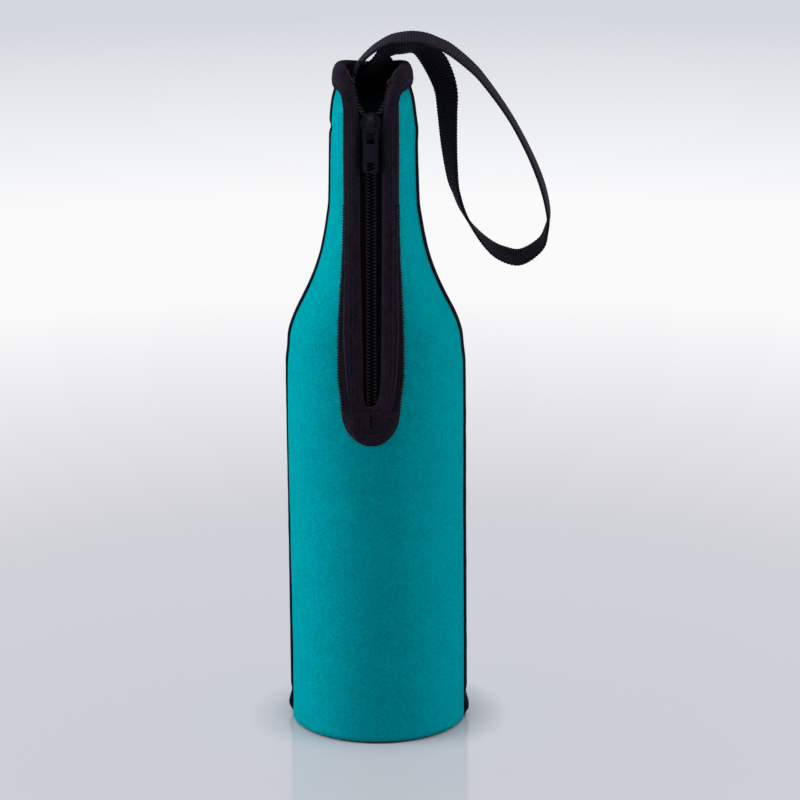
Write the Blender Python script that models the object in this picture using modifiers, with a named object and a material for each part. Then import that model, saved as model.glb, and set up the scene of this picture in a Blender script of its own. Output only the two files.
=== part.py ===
"""Wine cooler bag: a neoprene sleeve for one bottle, with a zipped front and a wrist strap.

Metres, +Z up. The origin is the middle of the base, on the surface that it stands on.
The zip faces -Y and the strap hangs at +X.
"""

import functools
import math

import bmesh
import bpy
from mathutils import Matrix, Vector

PART_NAME = "wine_cooler_bag"

# Body
wall = 0.003
body_radius = 0.042
neck_radius = 0.0206
collar_radius = 0.0195
throat_radius = 0.0184
pinch_radius = 0.0169
mouth_radius = 0.0166
seat_height = 0.002
base_tuck = 0.0009
base_tuck_height = 0.009
shoulder_height = 0.1804
neck_height = 0.2594
front_edge_height = 0.3259
collar_drop = 0.0275
throat_drop = 0.0164
pinch_drop = 0.0099
back_edge_drop = 0.0032
collar_height = front_edge_height - collar_drop
throat_height = front_edge_height - throat_drop
pinch_height = front_edge_height - pinch_drop
back_edge_height = front_edge_height - back_edge_drop
base_thickness = 0.0042
clearance = 0.0003

# Share of the drop from the shoulder to the neck, and of the step from the neck's radius to the body's
shoulder_shares = (
    (0.0, 1.0),
    (0.1, 0.965),
    (0.2, 0.925),
    (0.3, 0.805),
    (0.4, 0.625),
    (0.5, 0.45),
    (0.6, 0.302),
    (0.7, 0.19),
    (0.8, 0.112),
    (0.9, 0.05),
    (1.0, 0.0),
)

# Front line: the zip runs straight from the mouth to the body, in front of the hollow of the neck
mouth_reach = 0.020
line_low_height = 0.1744
line_low_reach = 0.0434
swell_height = 0.1124
round_power = 2.0
flat_power = 2.5
flat_height = 0.2024

# Zip opening and its covers
slot_half_width = 0.007
cover_top_height = 0.1681
cover_length = 0.0165
cover_lap = 0.0057
slot_low_height = cover_top_height - cover_lap
cover_low_height = cover_top_height - cover_length
cover_half_width = 0.01575
facing_half_width = 0.0139
facing_widen_low = 0.1974
facing_widen_high = 0.2524
facing_thickness = 0.0005
facing_setback = 0.0005
cover_thickness = 0.0007
cover_sweep_degrees = 80
wing_turn_share = 0.75
wing_bend_share = 0.35
corner_along = 0.0185
corner_rise = 0.012
corner_lead = 0.0002
corner_pull = 0.004

# Binding folded over the edge of the neoprene
binding_width = 0.0063
rim_binding_height = 0.0093
binding_nose = 0.0015
binding_proud = 0.0023
binding_under = 0.0011
binding_inner = 0.0006

# Zip
tape_depth = 0.0042
tape_thickness = 0.0005
tape_width = 0.0106
tape_shares = (0, 0.2, 0.42, 0.6, 0.8, 1)
tape_flat_share = 0.36
tape_bend_share = 0.24
tape_end_gap = 0.0012
tape_low_height = slot_low_height + tape_end_gap
coil_half_width = 0.00155
coil_thickness = 0.0024
slider_drop = 0.0229
coil_part_drop = 0.0011
coil_part_length = 0.0075
coil_top_drop = 0.0050
tape_tail = 0.0020
slider_height = front_edge_height - slider_drop
coil_part_low = slider_height - coil_part_drop
coil_part_high = coil_part_low + coil_part_length
coil_top_height = front_edge_height - coil_top_drop
tape_top_height = coil_top_height + tape_tail
stop_length = 0.0016
stop_proud = 0.0003
bottom_stop_gap = 0.0007
bottom_stop_height = cover_top_height + bottom_stop_gap
bottom_stop_length = 0.0026
bottom_stop_width = 0.0066
bottom_stop_thickness = 0.0007

# Slider
plate_thickness = 0.0012
slider_disc_radius = 0.00495
slider_tail_half_width = 0.0040
slider_tail_length = 0.0071
slider_tail_corner_share = 0.3
slider_lip_inner = 0.00355
slider_lip_thickness = 0.00105
slider_lip_top = -0.0010
slot_play = 0.0007
post_half_width = 0.0009
post_low = 0.0028
post_length = 0.0017
bridge_width = 0.0030
bridge_top = 0.0044
bridge_low = -0.0053
bridge_bar = 0.0009
bridge_rise = 0.0040
bridge_leg = 0.0011

# Pull tab
pull_width = 0.0076
pull_length = 0.0208
pull_thickness = 0.0013
pull_gap = 0.00115
pull_eye_bar = 0.0016
pull_axis_below = 0.0027
pull_frame = 0.0019
pull_eye_window = 0.0057
pull_end_window = 0.0041
pull_end_bar = 0.0007
pull_corner = 0.0009

# Seams
seam_half_width = 0.0022
seam_thickness = 0.0012
seam_flare = 0.0012
seam_flare_height = 0.0055
seam_flare_length = 0.0045
seam_low_height = 0.0012
base_seam_thickness = 0.0013
base_seam_low = 0.0004

# Strap
strap_width = 0.015
strap_thickness = 0.0014
hinge_along = -0.0036
hinge_depth = 0.003
hinge_rise = 0.0035
hinge_height = front_edge_height + hinge_rise
loop_reach = 0.0828
loop_drop = 0.0979
end_drop = 0.0190
end_low_height = hinge_height - end_drop
anchor_gap = 0.0016
bartack_rise = 0.0032
bartack_height = end_low_height + bartack_rise
bartack_length = 0.0022
bartack_width = 0.0120
bartack_thickness = 0.0005

# Route of the strap's middle line: shares of the reach, of its width and of the drop, and degrees of twist
loop_shares = (
    (0.012, 0.2, 0.041, 1),
    (0.0872, 0.2, 0.0775, 3),
    (0.1449, 0.2, 0.0897, 6),
    (0.2245, 0.2, 0.0948, 8),
    (0.2995, 0.2, 0.0875, 7),
    (0.3601, 0.2, 0.0687, 5.5),
    (0.4391, 0.2, 0.0358, 3),
    (0.5517, 0.2, -0.042, -1),
    (0.6351, 0.2, -0.1193, -6),
    (0.7755, 0.2, -0.2905, -8),
    (0.8876, 0.2, -0.4705, -4),
    (0.965, 0.2, -0.6364, 0),
    (1.0011, 0.2, -0.7783, 0),
    (0.992, 0.2, -0.8552, -3),
    (0.954, 0.2, -0.9352, -9),
    (0.8399, 0.2, -0.9986, -14),
    (0.7291, 0.2, -0.9791, -11),
    (0.6454, 0.2, -0.9288, -2.5),
    (0.5646, 0.2, -0.8485, 7),
    (0.508, 0.2, -0.765, 12),
    (0.475, 0.2, -0.6861, 15.5),
    (0.452, 0.233, -0.6133, 21),
    (0.432, 0.3, -0.4577, 30),
    (0.4214, 0.367, -0.2828, 39),
    (0.403, 0.413, -0.1844, 47),
    (0.376, 0.467, -0.1084, 55),
    (0.3246, 0.533, -0.027, 59),
    (0.24, 0.526, 0.0283, 39),
    (0.1567, 0.38, 0.0358, 25),
    (0.1114, 0.343, 0.0366, 0),
    (0.0772, 0.295, 0.0109, 27.5),
)
# The sewn ends: shares of the reach, of the width and of the way up from the lower end, and the twist
left_end_shares = (
    (-0.1087, -0.067, 0.0, 0),
    (-0.1087, -0.067, 0.47, 0),
    (-0.0978, 0.021, 0.66, 0),
    (-0.0808, 0.156, 0.81, 0),
)
back_end_shares = (
    (0.0565, 0.238, 0.905, 38),
    (0.0355, 0.247, 0.774, 43),
    (0.0144, 0.307, 0.584, 54),
    (-0.0024, 0.51, 0.353, 74),
    (-0.0127, 0.555, 0.168, 80),
    (-0.0127, 0.555, 0.0, 81),
)

# Fineness of the meshes
arc_steps = 24
wing_columns = 7
wing_rows = 26
low_rows = 12
slot_cells = 4
back_columns = 16
back_rows = 30
zip_rows = 24
corner_rows = 9
rim_columns = 22
base_columns = 64
seam_rows = 44
seam_flare_rows = 9
facing_rows = 22
cover_columns = 12
cover_rows = 9
closed_rows = 10
parting_rows = 6
parted_rows = 6
strap_steps = 2
strap_round_degrees = (75, 45, 20)
halvings = 24
corner_step_share = 0.02
finite_step = 0.0002


def mix(low, high, share):
    return low + (high - low) * share


def ease(share):
    share = min(max(share, 0), 1)
    return share * share * (3 - 2 * share)


def bunched(share):
    """Spreads shares so that they lie closer together near 0 and 1."""
    return (1 - math.cos(math.pi * share)) / 2


def smooth_through(rows, height):
    """A smooth curve through rows of (height, value), level with the end rows beyond them."""
    if height <= rows[0][0]:
        return rows[0][1]
    if height >= rows[-1][0]:
        return rows[-1][1]
    i = max(k for k in range(len(rows) - 1) if rows[k][0] <= height)

    def slope(k):
        low, high = rows[max(k - 1, 0)], rows[min(k + 1, len(rows) - 1)]
        return (high[1] - low[1]) / (high[0] - low[0])

    (h0, v0), (h1, v1) = rows[i], rows[i + 1]
    gap = h1 - h0
    t = (height - h0) / gap
    return (
        (2 * t**3 - 3 * t**2 + 1) * v0
        + (t**3 - 2 * t**2 + t) * gap * slope(i)
        + (3 * t**2 - 2 * t**3) * v1
        + (t**3 - t**2) * gap * slope(i + 1)
    )


def profile_rows():
    rows = [
        (0.0, body_radius - base_tuck),
        (base_tuck_height, body_radius),
        (mix(base_tuck_height, shoulder_height, 0.5), body_radius),
    ]
    for down, out in shoulder_shares:
        height = mix(shoulder_height, neck_height, down)
        rows.append((height, mix(neck_radius, body_radius, out)))
    rows.append((collar_height, collar_radius))
    rows.append((throat_height, throat_radius))
    rows.append((pinch_height, pinch_radius))
    rows.append((front_edge_height, mouth_radius))
    return rows


PROFILE = profile_rows()
LINE_SLOPE = (line_low_reach - mouth_reach) / (front_edge_height - line_low_height)
LINE_LEAN = math.atan(LINE_SLOPE)


@functools.cache
def side_radius(height):
    return smooth_through(PROFILE, height)


@functools.cache
def front_reach(height):
    """How far the front line stands before the axis: a straight line above line_low_height."""
    if height >= line_low_height:
        return mouth_reach + (front_edge_height - height) * LINE_SLOPE
    if height <= swell_height:
        return side_radius(height)
    gap = line_low_height - swell_height
    t = (height - swell_height) / gap
    return (
        (2 * t**3 - 3 * t**2 + 1) * body_radius
        + (3 * t**2 - 2 * t**3) * line_low_reach
        - (t**3 - t**2) * gap * LINE_SLOPE
    )


def roundness(height):
    share = (height - swell_height) / (flat_height - swell_height)
    return mix(round_power, flat_power, ease(share))


def section_point(height, angle):
    """The outer surface at an angle from the front, in radians, positive towards +X."""
    side, front, power = side_radius(height), front_reach(height), roundness(height)
    across, forward = math.sin(angle), math.cos(angle)
    if forward <= 0:
        return Vector((side * across, -side * forward, height))
    x = math.copysign(side * abs(across) ** (2 / power), across)
    return Vector((x, -front * forward ** (2 / power), height))


@functools.cache
def arc_table(height):
    """Lengths along the front quarter of the section at one height, with their angles."""
    rows = [(0.0, 0.0)]
    last = section_point(height, 0.0)
    for step in range(1, arc_steps + 1):
        angle = math.pi / 2 * step / arc_steps
        point = section_point(height, angle)
        rows.append((rows[-1][0] + (point - last).length, angle))
        last = point
    return rows


def quarter(height):
    return arc_table(height)[-1][0]


def half_girth(height):
    return quarter(height) + side_radius(height) * math.pi / 2


def angle_at(along, height):
    rows = arc_table(height)
    length = abs(along)
    if length >= rows[-1][0]:
        angle = math.pi / 2 + (length - rows[-1][0]) / side_radius(height)
    else:
        i = max(k for k in range(arc_steps) if rows[k][0] <= length)
        (l0, a0), (l1, a1) = rows[i], rows[i + 1]
        angle = mix(a0, a1, (length - l0) / (l1 - l0))
    return math.copysign(angle, along)


def surface(along, height):
    return section_point(height, angle_at(along, height))


def skin(along, height, out):
    """A point at a distance along the section from the front line, at a height, and out from the surface."""
    step = finite_step
    sideways = surface(along + step, height) - surface(along - step, height)
    upwards = surface(along, height + step) - surface(along, height - step)
    return surface(along, height) + sideways.cross(upwards).normalized() * out


def edge_height(along, height):
    """The height of the panels' top edge, lower at the back than at the front."""
    angle = abs(angle_at(along, height))
    return mix(front_edge_height, back_edge_height, ease(angle / (math.pi / 2) - 1))


def line_frame():
    """The zip's own frame at the slider: X across, -Y out of the bag and Z up the zip."""
    place = Vector((0, -front_reach(slider_height), slider_height))
    return Matrix.Translation(place) @ Matrix.Rotation(-LINE_LEAN, 4, "X")


def new_collection(name):
    collection = bpy.data.collections.new(name)
    bpy.context.scene.collection.children.link(collection)
    return collection


def material(name, colour, roughness, metallic=0.0):
    found = bpy.data.materials.get(name)
    if found:
        return found
    made = bpy.data.materials.new(name)
    made.use_nodes = True
    shader = made.node_tree.nodes["Principled BSDF"]
    shader.inputs["Base Color"].default_value = (*colour, 1.0)
    shader.inputs["Roughness"].default_value = roughness
    shader.inputs["Metallic"].default_value = metallic
    return made


def teal_neoprene():
    return material("teal_neoprene", (0.0, 0.30, 0.33), 0.75)


def black_knit():
    return material("black_knit", (0.017, 0.012, 0.020), 0.85)


def black_tape():
    return material("black_tape", (0.010, 0.010, 0.012), 0.8)


def black_nylon():
    return material("black_nylon", (0.012, 0.012, 0.014), 0.4)


def black_metal():
    return material("black_metal", (0.015, 0.018, 0.022), 0.35, 0.6)


def black_webbing():
    return material("black_webbing", (0.014, 0.014, 0.017), 0.7)


def black_thread():
    return material("black_thread", (0.012, 0.012, 0.014), 0.75)


def add_object(name, mesh, collection, surface_material):
    made = bpy.data.objects.new(name, mesh)
    made.data.materials.append(surface_material)
    collection.objects.link(made)
    return made


def finish_mesh(name, work):
    bmesh.ops.recalc_face_normals(work, faces=work.faces)
    mesh = bpy.data.meshes.new(name)
    work.to_mesh(mesh)
    work.free()
    mesh.shade_smooth()
    mesh.set_sharp_from_angle(angle=math.radians(40))
    return mesh


def loft(name, rings):
    """A closed solid through rings of points, capped at both ends."""
    work = bmesh.new()
    grid = [[work.verts.new(point) for point in ring] for ring in rings]
    for low, high in zip(grid, grid[1:]):
        for i in range(len(low)):
            j = (i + 1) % len(low)
            work.faces.new((low[i], low[j], high[j], high[i]))
    work.faces.new(grid[0])
    work.faces.new(grid[-1])
    return finish_mesh(name, work)


def grid_into(work, columns, rows, place):
    """A grid primitive of columns by rows cells, each point moved by place(u, v)."""
    made = bmesh.ops.create_grid(work, x_segments=columns, y_segments=rows, size=1)
    for vertex in made["verts"]:
        u, v = (vertex.co.x + 1) / 2, (vertex.co.y + 1) / 2
        vertex.co = place(u, v)
    return made["verts"]


def solidify(made, thickness, offset):
    shell = made.modifiers.new("Thickness", "SOLIDIFY")
    shell.thickness = thickness
    shell.offset = offset
    shell.use_even_offset = True
    return shell


def face_outwards(work):
    """Turns an open skin so that its faces look away from the axis or, near it, upwards."""
    bmesh.ops.recalc_face_normals(work, faces=work.faces)
    work.faces.ensure_lookup_table()
    face = max(work.faces, key=lambda f: f.calc_center_median().xy.length)
    centre = face.calc_center_median()
    if face.normal.xy.dot(centre.xy) < 0:
        bmesh.ops.reverse_faces(work, faces=work.faces)


def skin_mesh(name, work):
    face_outwards(work)
    mesh = bpy.data.meshes.new(name)
    work.to_mesh(mesh)
    work.free()
    mesh.shade_smooth()
    return mesh


def bezier(points, t):
    a, b, c, d = points
    s = 1 - t
    return a * s**3 + b * (3 * s * s * t) + c * (3 * s * t * t) + d * t**3


def edge_point(share):
    """The neoprene's edge at the front corner, as (along, height): from the slot round to the rim."""
    top = front_edge_height
    return bezier(
        (
            Vector((slot_half_width, collar_height)),
            Vector((slot_half_width + corner_lead, collar_height + corner_rise)),
            Vector((slot_half_width + corner_pull, top - corner_lead)),
            Vector((corner_along, top)),
        ),
        share,
    )


def leg_point(share):
    """Where the binding's legs end at the same corner."""
    top = front_edge_height - rim_binding_height
    side = slot_half_width + binding_width
    return bezier(
        (
            Vector((side, collar_height)),
            Vector((side, top - binding_nose)),
            Vector((side + binding_nose, top)),
            Vector((corner_along, top)),
        ),
        share,
    )


def wing_point(side, u, v):
    """One side of the front panel above the slot's end: u from the edge to the seam, v upwards."""
    turn, bend = wing_turn_share, wing_bend_share
    low = slot_low_height
    seam = clearance

    u = bunched(u)

    def left(t):
        if t < turn:
            return Vector((slot_half_width, mix(low, collar_height, t / turn)))
        return edge_point((t - turn) / (1 - turn) * turn)

    def right(t):
        height = mix(low, front_edge_height, t)
        return Vector((quarter(height) - seam, height))

    def bottom(t):
        return Vector((mix(slot_half_width, quarter(low) - seam, t), low))

    def top(t):
        if t < bend:
            return edge_point(mix(turn, 1, t / bend))
        share = (t - bend) / (1 - bend)
        return Vector((mix(corner_along, quarter(front_edge_height) - seam, share), front_edge_height))

    place = (
        bottom(u) * (1 - v)
        + top(u) * v
        + left(v) * (1 - u)
        + right(v) * u
        - bottom(0) * ((1 - u) * (1 - v))
        - bottom(1) * (u * (1 - v))
        - top(0) * ((1 - u) * v)
        - top(1) * (u * v)
    )
    return skin(side * place.x, place.y, 0)


def make_front_panel(collection):
    work = bmesh.new()
    for side in (-1, 1):
        grid_into(work, wing_columns, wing_rows, lambda u, v: wing_point(side, u, v))

    def below(u, v):
        height = mix(seat_height, slot_low_height, v)
        full = quarter(height) - clearance
        cells = 2 * wing_columns + slot_cells
        place = u * cells - cells / 2
        inner = slot_cells / 2
        half = slot_half_width * full / (quarter(slot_low_height) - clearance)
        if abs(place) <= inner:
            along = place / inner * half
        else:
            share = bunched((abs(place) - inner) / wing_columns)
            along = math.copysign(mix(half, full, share), place)
        return skin(along, height, 0)

    grid_into(work, 2 * wing_columns + slot_cells, low_rows, below)
    bmesh.ops.remove_doubles(work, verts=work.verts, dist=clearance / 10)
    made = add_object("front_panel", skin_mesh("front_panel", work), collection, teal_neoprene())
    solidify(made, wall, -1)


def make_back_panel(collection):
    work = bmesh.new()

    def place(u, v):
        u = bunched(u)
        height = mix(seat_height, back_edge_height, v)
        for _ in range(2):
            full, near = half_girth(height), quarter(height) + clearance
            along = mix(near, 2 * full - near, u)
            signed = along if along <= full else along - 2 * full
            height = mix(seat_height, edge_height(signed, height), v)
        return skin(signed, height, 0)

    grid_into(work, back_columns, back_rows, place)
    made = add_object("back_panel", skin_mesh("back_panel", work), collection, teal_neoprene())
    solidify(made, wall, -1)


def make_base(collection):
    inner = side_radius(seat_height) - wall - clearance
    bpy.ops.mesh.primitive_cylinder_add(
        vertices=base_columns,
        radius=inner - clearance,
        depth=base_thickness,
        location=(0, 0, base_thickness / 2),
    )
    disc = bpy.context.active_object
    disc.name = "base_disc"
    disc.data.materials.append(teal_neoprene())
    for owner in list(disc.users_collection):
        owner.objects.unlink(disc)
    collection.objects.link(disc)
    disc.data.shade_smooth()
    disc.data.set_sharp_from_angle(angle=math.radians(40))
    outer = side_radius(seat_height) - clearance
    low, high = base_seam_low, base_seam_low + base_seam_thickness
    bevel = base_seam_thickness / 4
    outline = (
        (inner, low + bevel),
        (inner, high - bevel),
        (inner + bevel, high),
        (outer - bevel, high),
        (outer, high - bevel),
        (outer, low + bevel),
        (outer - bevel, low),
        (inner + bevel, low),
    )
    work = bmesh.new()
    rings = []
    for i in range(base_columns):
        angle = 2 * math.pi * i / base_columns
        rings.append([work.verts.new((r * math.cos(angle), r * math.sin(angle), z)) for r, z in outline])
    for i in range(base_columns):
        low_ring, high_ring = rings[i], rings[(i + 1) % base_columns]
        for k in range(len(outline)):
            j = (k + 1) % len(outline)
            work.faces.new((low_ring[k], low_ring[j], high_ring[j], high_ring[k]))
    add_object("base_seam", finish_mesh("base_seam", work), collection, black_thread())


def make_side_seam(collection, name, side):
    """A bound seam laid along the joint of the two panels, with a thicker folded end at the base."""
    top = front_edge_height - rim_binding_height - clearance
    rings = []
    flare_top = seam_flare_height + 2 * seam_flare_length
    for i in range(seam_rows + 1):
        if i < seam_flare_rows:
            height = mix(seam_low_height, flare_top, i / seam_flare_rows)
        else:
            height = mix(flare_top, top, (i - seam_flare_rows) / (seam_rows - seam_flare_rows))
        middle = quarter(height)
        flare = math.exp(-(((height - seam_flare_height) / seam_flare_length) ** 2))
        half = seam_half_width
        out = clearance + seam_thickness + seam_flare * flare
        low = clearance
        shoulder = half / 2
        outline = (
            (-half, low),
            (0, low),
            (half, low),
            (half, mix(low, out, 0.6)),
            (shoulder, out),
            (-shoulder, out),
            (-half, mix(low, out, 0.6)),
        )
        rings.append([skin(side * (middle + a), height, n) for a, n in outline])
    add_object(name, loft(name, rings), collection, black_knit())


def binding_ring(side, edge, leg, off):
    """One section of the binding: edge and leg are (along, height), off points off the panel."""
    inside = -wall
    outline = (
        (1, 0, binding_under),
        (1, 0, mix(binding_under, binding_proud, 0.6)),
        (0.85, 0, binding_proud),
        (0.45, 0, binding_proud),
        (0, 0, binding_proud),
        (0, 0.75, mix(binding_under, binding_proud, 0.5)),
        (0, 1, 0),
        (0, 1, inside + clearance),
        (0, 0.7, inside - clearance - binding_inner / 2),
        (0.08, 0, inside - clearance - binding_inner),
        (0.5, 0, inside - clearance - binding_inner),
        (0.95, 0, inside - clearance - binding_inner),
        (0.95, 0, inside - clearance),
        (0.5, 0, inside - clearance),
        (0, 0.2, inside - clearance),
        (0, 0.2, binding_under),
        (0.45, 0, binding_under),
    )
    points = []
    for down, nose, out in outline:
        place = edge + (leg - edge) * down + off * (binding_nose * nose)
        points.append(skin(side * place.x, place.y, out))
    return points


def make_zip_binding(collection, name, side):
    rings = []
    low = cover_top_height + clearance
    for i in range(zip_rows):
        height = mix(low, collar_height, i / zip_rows)
        edge = Vector((slot_half_width, height))
        leg = Vector((slot_half_width + binding_width, height))
        rings.append(binding_ring(side, edge, leg, corner_off(0)))
    for i in range(corner_rows + 1):
        t = i / corner_rows
        rings.append(binding_ring(side, edge_point(t), leg_point(t), corner_off(t)))
    add_object(name, loft(name, rings), collection, black_knit())


def make_rim_binding(collection):
    rings = []
    for i in range(rim_columns + 1):
        height = front_edge_height
        for _ in range(3):
            start = corner_along + clearance
            full = half_girth(height)
            along = mix(start, 2 * full - start, i / rim_columns)
            signed = along if along <= full else along - 2 * full
            height = edge_height(signed, height)
        edge = Vector((signed, height))
        leg = Vector((signed, height - rim_binding_height))
        rings.append(binding_ring(1, edge, leg, corner_off(1)))
    add_object("rim_binding", loft("rim_binding", rings), collection, black_knit())


def make_facing(collection, name, side):
    """A flat strip sewn on the panel beside the zip, under the binding, that shows past its edge."""
    rings = []
    low = cover_top_height + clearance
    top = front_edge_height - rim_binding_height - clearance
    for i in range(facing_rows + 1):
        height = mix(low, top, i / facing_rows)
        narrow = ease((height - facing_widen_low) / (facing_widen_high - facing_widen_low))
        outer = mix(cover_half_width, facing_half_width, narrow)
        inner = slot_half_width + facing_setback
        if height > collar_height:
            inner = edge_point(0).x + facing_setback
            inner += (facing_half_width - inner) / 2 * ((height - collar_height) / (top - collar_height))
        under, over = clearance, clearance + facing_thickness
        places = [mix(inner, outer, k / 3) for k in range(4)]
        ring = [skin(side * place, height, under) for place in places]
        ring += [skin(side * place, height, over) for place in reversed(places)]
        rings.append(ring)
    add_object(name, loft(name, rings), collection, black_knit())


def make_end_cover(collection):
    """The rounded patch that closes the lower end of the zip."""
    work = bmesh.new()
    sweep = math.radians(cover_sweep_degrees)

    def place(u, v):
        angle = v * sweep
        depth = (cover_top_height - cover_low_height) / math.sin(sweep)
        height = cover_top_height - depth * math.sin(angle)
        half = cover_half_width * math.cos(angle)
        return skin(mix(-half, half, u), height, clearance)

    grid_into(work, cover_columns, cover_rows, place)
    mesh = skin_mesh("zip_end_cover", work)
    made = add_object("zip_end_cover", mesh, collection, black_knit())
    solidify(made, cover_thickness, 1)


def corner_off(share):
    """The direction off the panel at a share of the front corner."""
    step = corner_step_share
    if share <= 0:
        return Vector((-1, 0))
    if share >= 1:
        return Vector((0, 1))
    run = (edge_point(min(share + step, 1)) - edge_point(max(share - step, 0))).normalized()
    return Vector((-run.y, run.x))


def nose_along(height):
    """The binding's inner edge at a height: straight below the collar and parting above it."""
    if height <= collar_height:
        return slot_half_width - binding_nose
    low, high = 0.0, 1.0
    for _ in range(halvings):
        middle = (low + high) / 2
        nose = edge_point(middle) + corner_off(middle) * binding_nose
        if nose.y < height:
            low = middle
        else:
            high = middle
    return (edge_point(low) + corner_off(low) * binding_nose).x


def coil_middle(height):
    closed = coil_half_width + clearance / 2
    if height <= coil_part_low:
        return closed
    spread = nose_along(height) - coil_half_width - clearance
    if height >= coil_part_high:
        return spread
    share = ease((height - coil_part_low) / (coil_part_high - coil_part_low))
    return mix(closed, nose_along(coil_part_high) - coil_half_width - clearance, share)


def coil_heights(top):
    heights = [mix(tape_low_height, coil_part_low, i / closed_rows) for i in range(closed_rows)]
    heights += [mix(coil_part_low, coil_part_high, i / parting_rows) for i in range(parting_rows)]
    heights += [mix(coil_part_high, top, i / parted_rows) for i in range(parted_rows + 1)]
    return heights


def make_tape(collection, name, side):
    rings = []
    for height in coil_heights(tape_top_height):
        inner = coil_middle(height) - coil_half_width + clearance / 2
        outer = inner + tape_width
        parted = parted_share(height)
        top, bottom = [], []
        for share in tape_shares:
            along = mix(inner, outer, share)
            curved = skin(side * along, height, -tape_depth)
            # Flat under the slider, so that it stays in its slots
            flat = Vector((curved.x, skin(0, height, -tape_depth).y, curved.z))
            bend = max(ease((share - tape_flat_share) / tape_bend_share), parted)
            point = flat.lerp(curved, bend)
            top.append(point)
            bottom.append(point + Vector((0, tape_thickness, 0)))
        rings.append(top + bottom[::-1])
    add_object(name, loft(name, rings), collection, black_tape())


def coil_levels():
    back = tape_depth - clearance
    return -back, -back + coil_thickness


def parted_share(height):
    """0 where the zip is closed and flat, 1 where its sides follow the curved mouth."""
    return ease((height - coil_part_low) / (coil_part_high - coil_part_low))


def coil_rings(side, heights, low, high):
    """Sections of one side's coil, between two levels out from the panel's surface."""
    half = coil_half_width
    curve = half * 0.4
    outline = (
        (-half, low + curve),
        (-half + curve, low),
        (half - curve, low),
        (half, low + curve),
        (half, high - curve),
        (half - curve, high),
        (-half + curve, high),
        (-half, high - curve),
    )
    rings = []
    for height in heights:
        middle = coil_middle(height)
        front = skin(0, height, 0)
        ring = []
        for across, out in outline:
            flat = front + Vector((side * (middle + across), -out, 0))
            curved = skin(side * (middle + across), height, out)
            ring.append(flat.lerp(curved, parted_share(height)))
        rings.append(ring)
    return rings


def make_coil(collection, name, side):
    """The plain bar of one zip coil."""
    rings = coil_rings(side, coil_heights(coil_top_height), *coil_levels())
    add_object(name, loft(name, rings), collection, black_nylon())


def box_mesh(name, low, high, rounding=0.0):
    work = bmesh.new()
    bmesh.ops.create_cube(work, size=1)
    size = Vector(high) - Vector(low)
    middle = (Vector(high) + Vector(low)) / 2
    for vertex in work.verts:
        vertex.co = Vector(c * s for c, s in zip(vertex.co, size)) + middle
    if rounding:
        bmesh.ops.bevel(work, geom=work.edges[:], offset=rounding, segments=2, affect="EDGES", profile=0.5)
    return finish_mesh(name, work)


def make_top_stop(collection, name, side):
    """A clamp above the last turns of the coil."""
    low, high = coil_levels()
    start = coil_top_height + clearance
    heights = [mix(start, start + stop_length, i / 3) for i in range(4)]
    rings = coil_rings(side, heights, low, high + stop_proud)
    add_object(name, loft(name, rings), collection, black_metal())


def make_bottom_stop(collection):
    low = coil_levels()[1] + clearance
    half = bottom_stop_width / 2
    mesh = box_mesh(
        "bottom_stop",
        (-half, -low - bottom_stop_thickness, 0),
        (half, -low, bottom_stop_length),
        bottom_stop_thickness / 4,
    )
    made = add_object("bottom_stop", mesh, collection, black_nylon())
    made.location = skin(0, bottom_stop_height, 0)
    made.rotation_euler = (-LINE_LEAN, 0, 0)


def plate_mesh(name, outlines, low, high):
    """A flat plate from closed outlines, the later ones holes, between two levels of Z."""
    curve = bpy.data.curves.new(name, "CURVE")
    curve.dimensions = "2D"
    curve.fill_mode = "BOTH"
    curve.extrude = (high - low) / 2
    for outline in outlines:
        spline = curve.splines.new("POLY")
        spline.points.add(len(outline) - 1)
        for point, (x, y) in zip(spline.points, outline):
            point.co = (x, y, 0, 1)
        spline.use_cyclic_u = True
    flat = bpy.data.objects.new(name, curve)
    bpy.context.scene.collection.objects.link(flat)
    evaluated = flat.evaluated_get(bpy.context.evaluated_depsgraph_get())
    mesh = bpy.data.meshes.new_from_object(evaluated)
    bpy.data.objects.remove(flat)
    work = bmesh.new()
    work.from_mesh(mesh)
    bmesh.ops.remove_doubles(work, verts=work.verts, dist=clearance / 100)
    bmesh.ops.translate(work, vec=(0, 0, (low + high) / 2), verts=work.verts)
    bmesh.ops.recalc_face_normals(work, faces=work.faces)
    work.to_mesh(mesh)
    work.free()
    return mesh


def stand_up(mesh):
    """Turns a plate drawn in XY so that its Y is the zip's Z and its Z points out of the bag."""
    mesh.transform(Matrix.Rotation(math.pi / 2, 4, "X"))
    return mesh


def rounded_rectangle(low, high, radius, steps=3):
    outline = []
    corners = (
        (high[0] - radius, high[1] - radius, 0),
        (low[0] + radius, high[1] - radius, 90),
        (low[0] + radius, low[1] + radius, 180),
        (high[0] - radius, low[1] + radius, 270),
    )
    for x, y, start in corners:
        for i in range(steps + 1):
            angle = math.radians(start + 90 * i / steps)
            outline.append((x + radius * math.cos(angle), y + radius * math.sin(angle)))
    return outline


def slider_outline():
    """The crown's disc with a narrower tail below it."""
    meet = math.asin(slider_tail_half_width / slider_disc_radius)
    steps = 20
    outline = []
    for i in range(steps + 1):
        angle = mix(-math.pi + meet, math.pi - meet, i / steps)
        outline.append((slider_disc_radius * math.sin(angle), slider_disc_radius * math.cos(angle)))
    corner = slider_tail_half_width * slider_tail_corner_share
    low = -slider_tail_length
    for side in (1, -1):
        rows = [
            (side * slider_tail_half_width, low + corner),
            (side * (slider_tail_half_width - corner), low),
        ]
        outline += rows[::side]
    return outline


def slider_levels():
    """Levels out from the panel's surface: back plate, slot for the tape and front plate."""
    front_low = coil_levels()[1] + clearance
    back_high = -tape_depth - tape_thickness - slot_play
    return back_high - plate_thickness, back_high, front_low, front_low + plate_thickness


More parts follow.
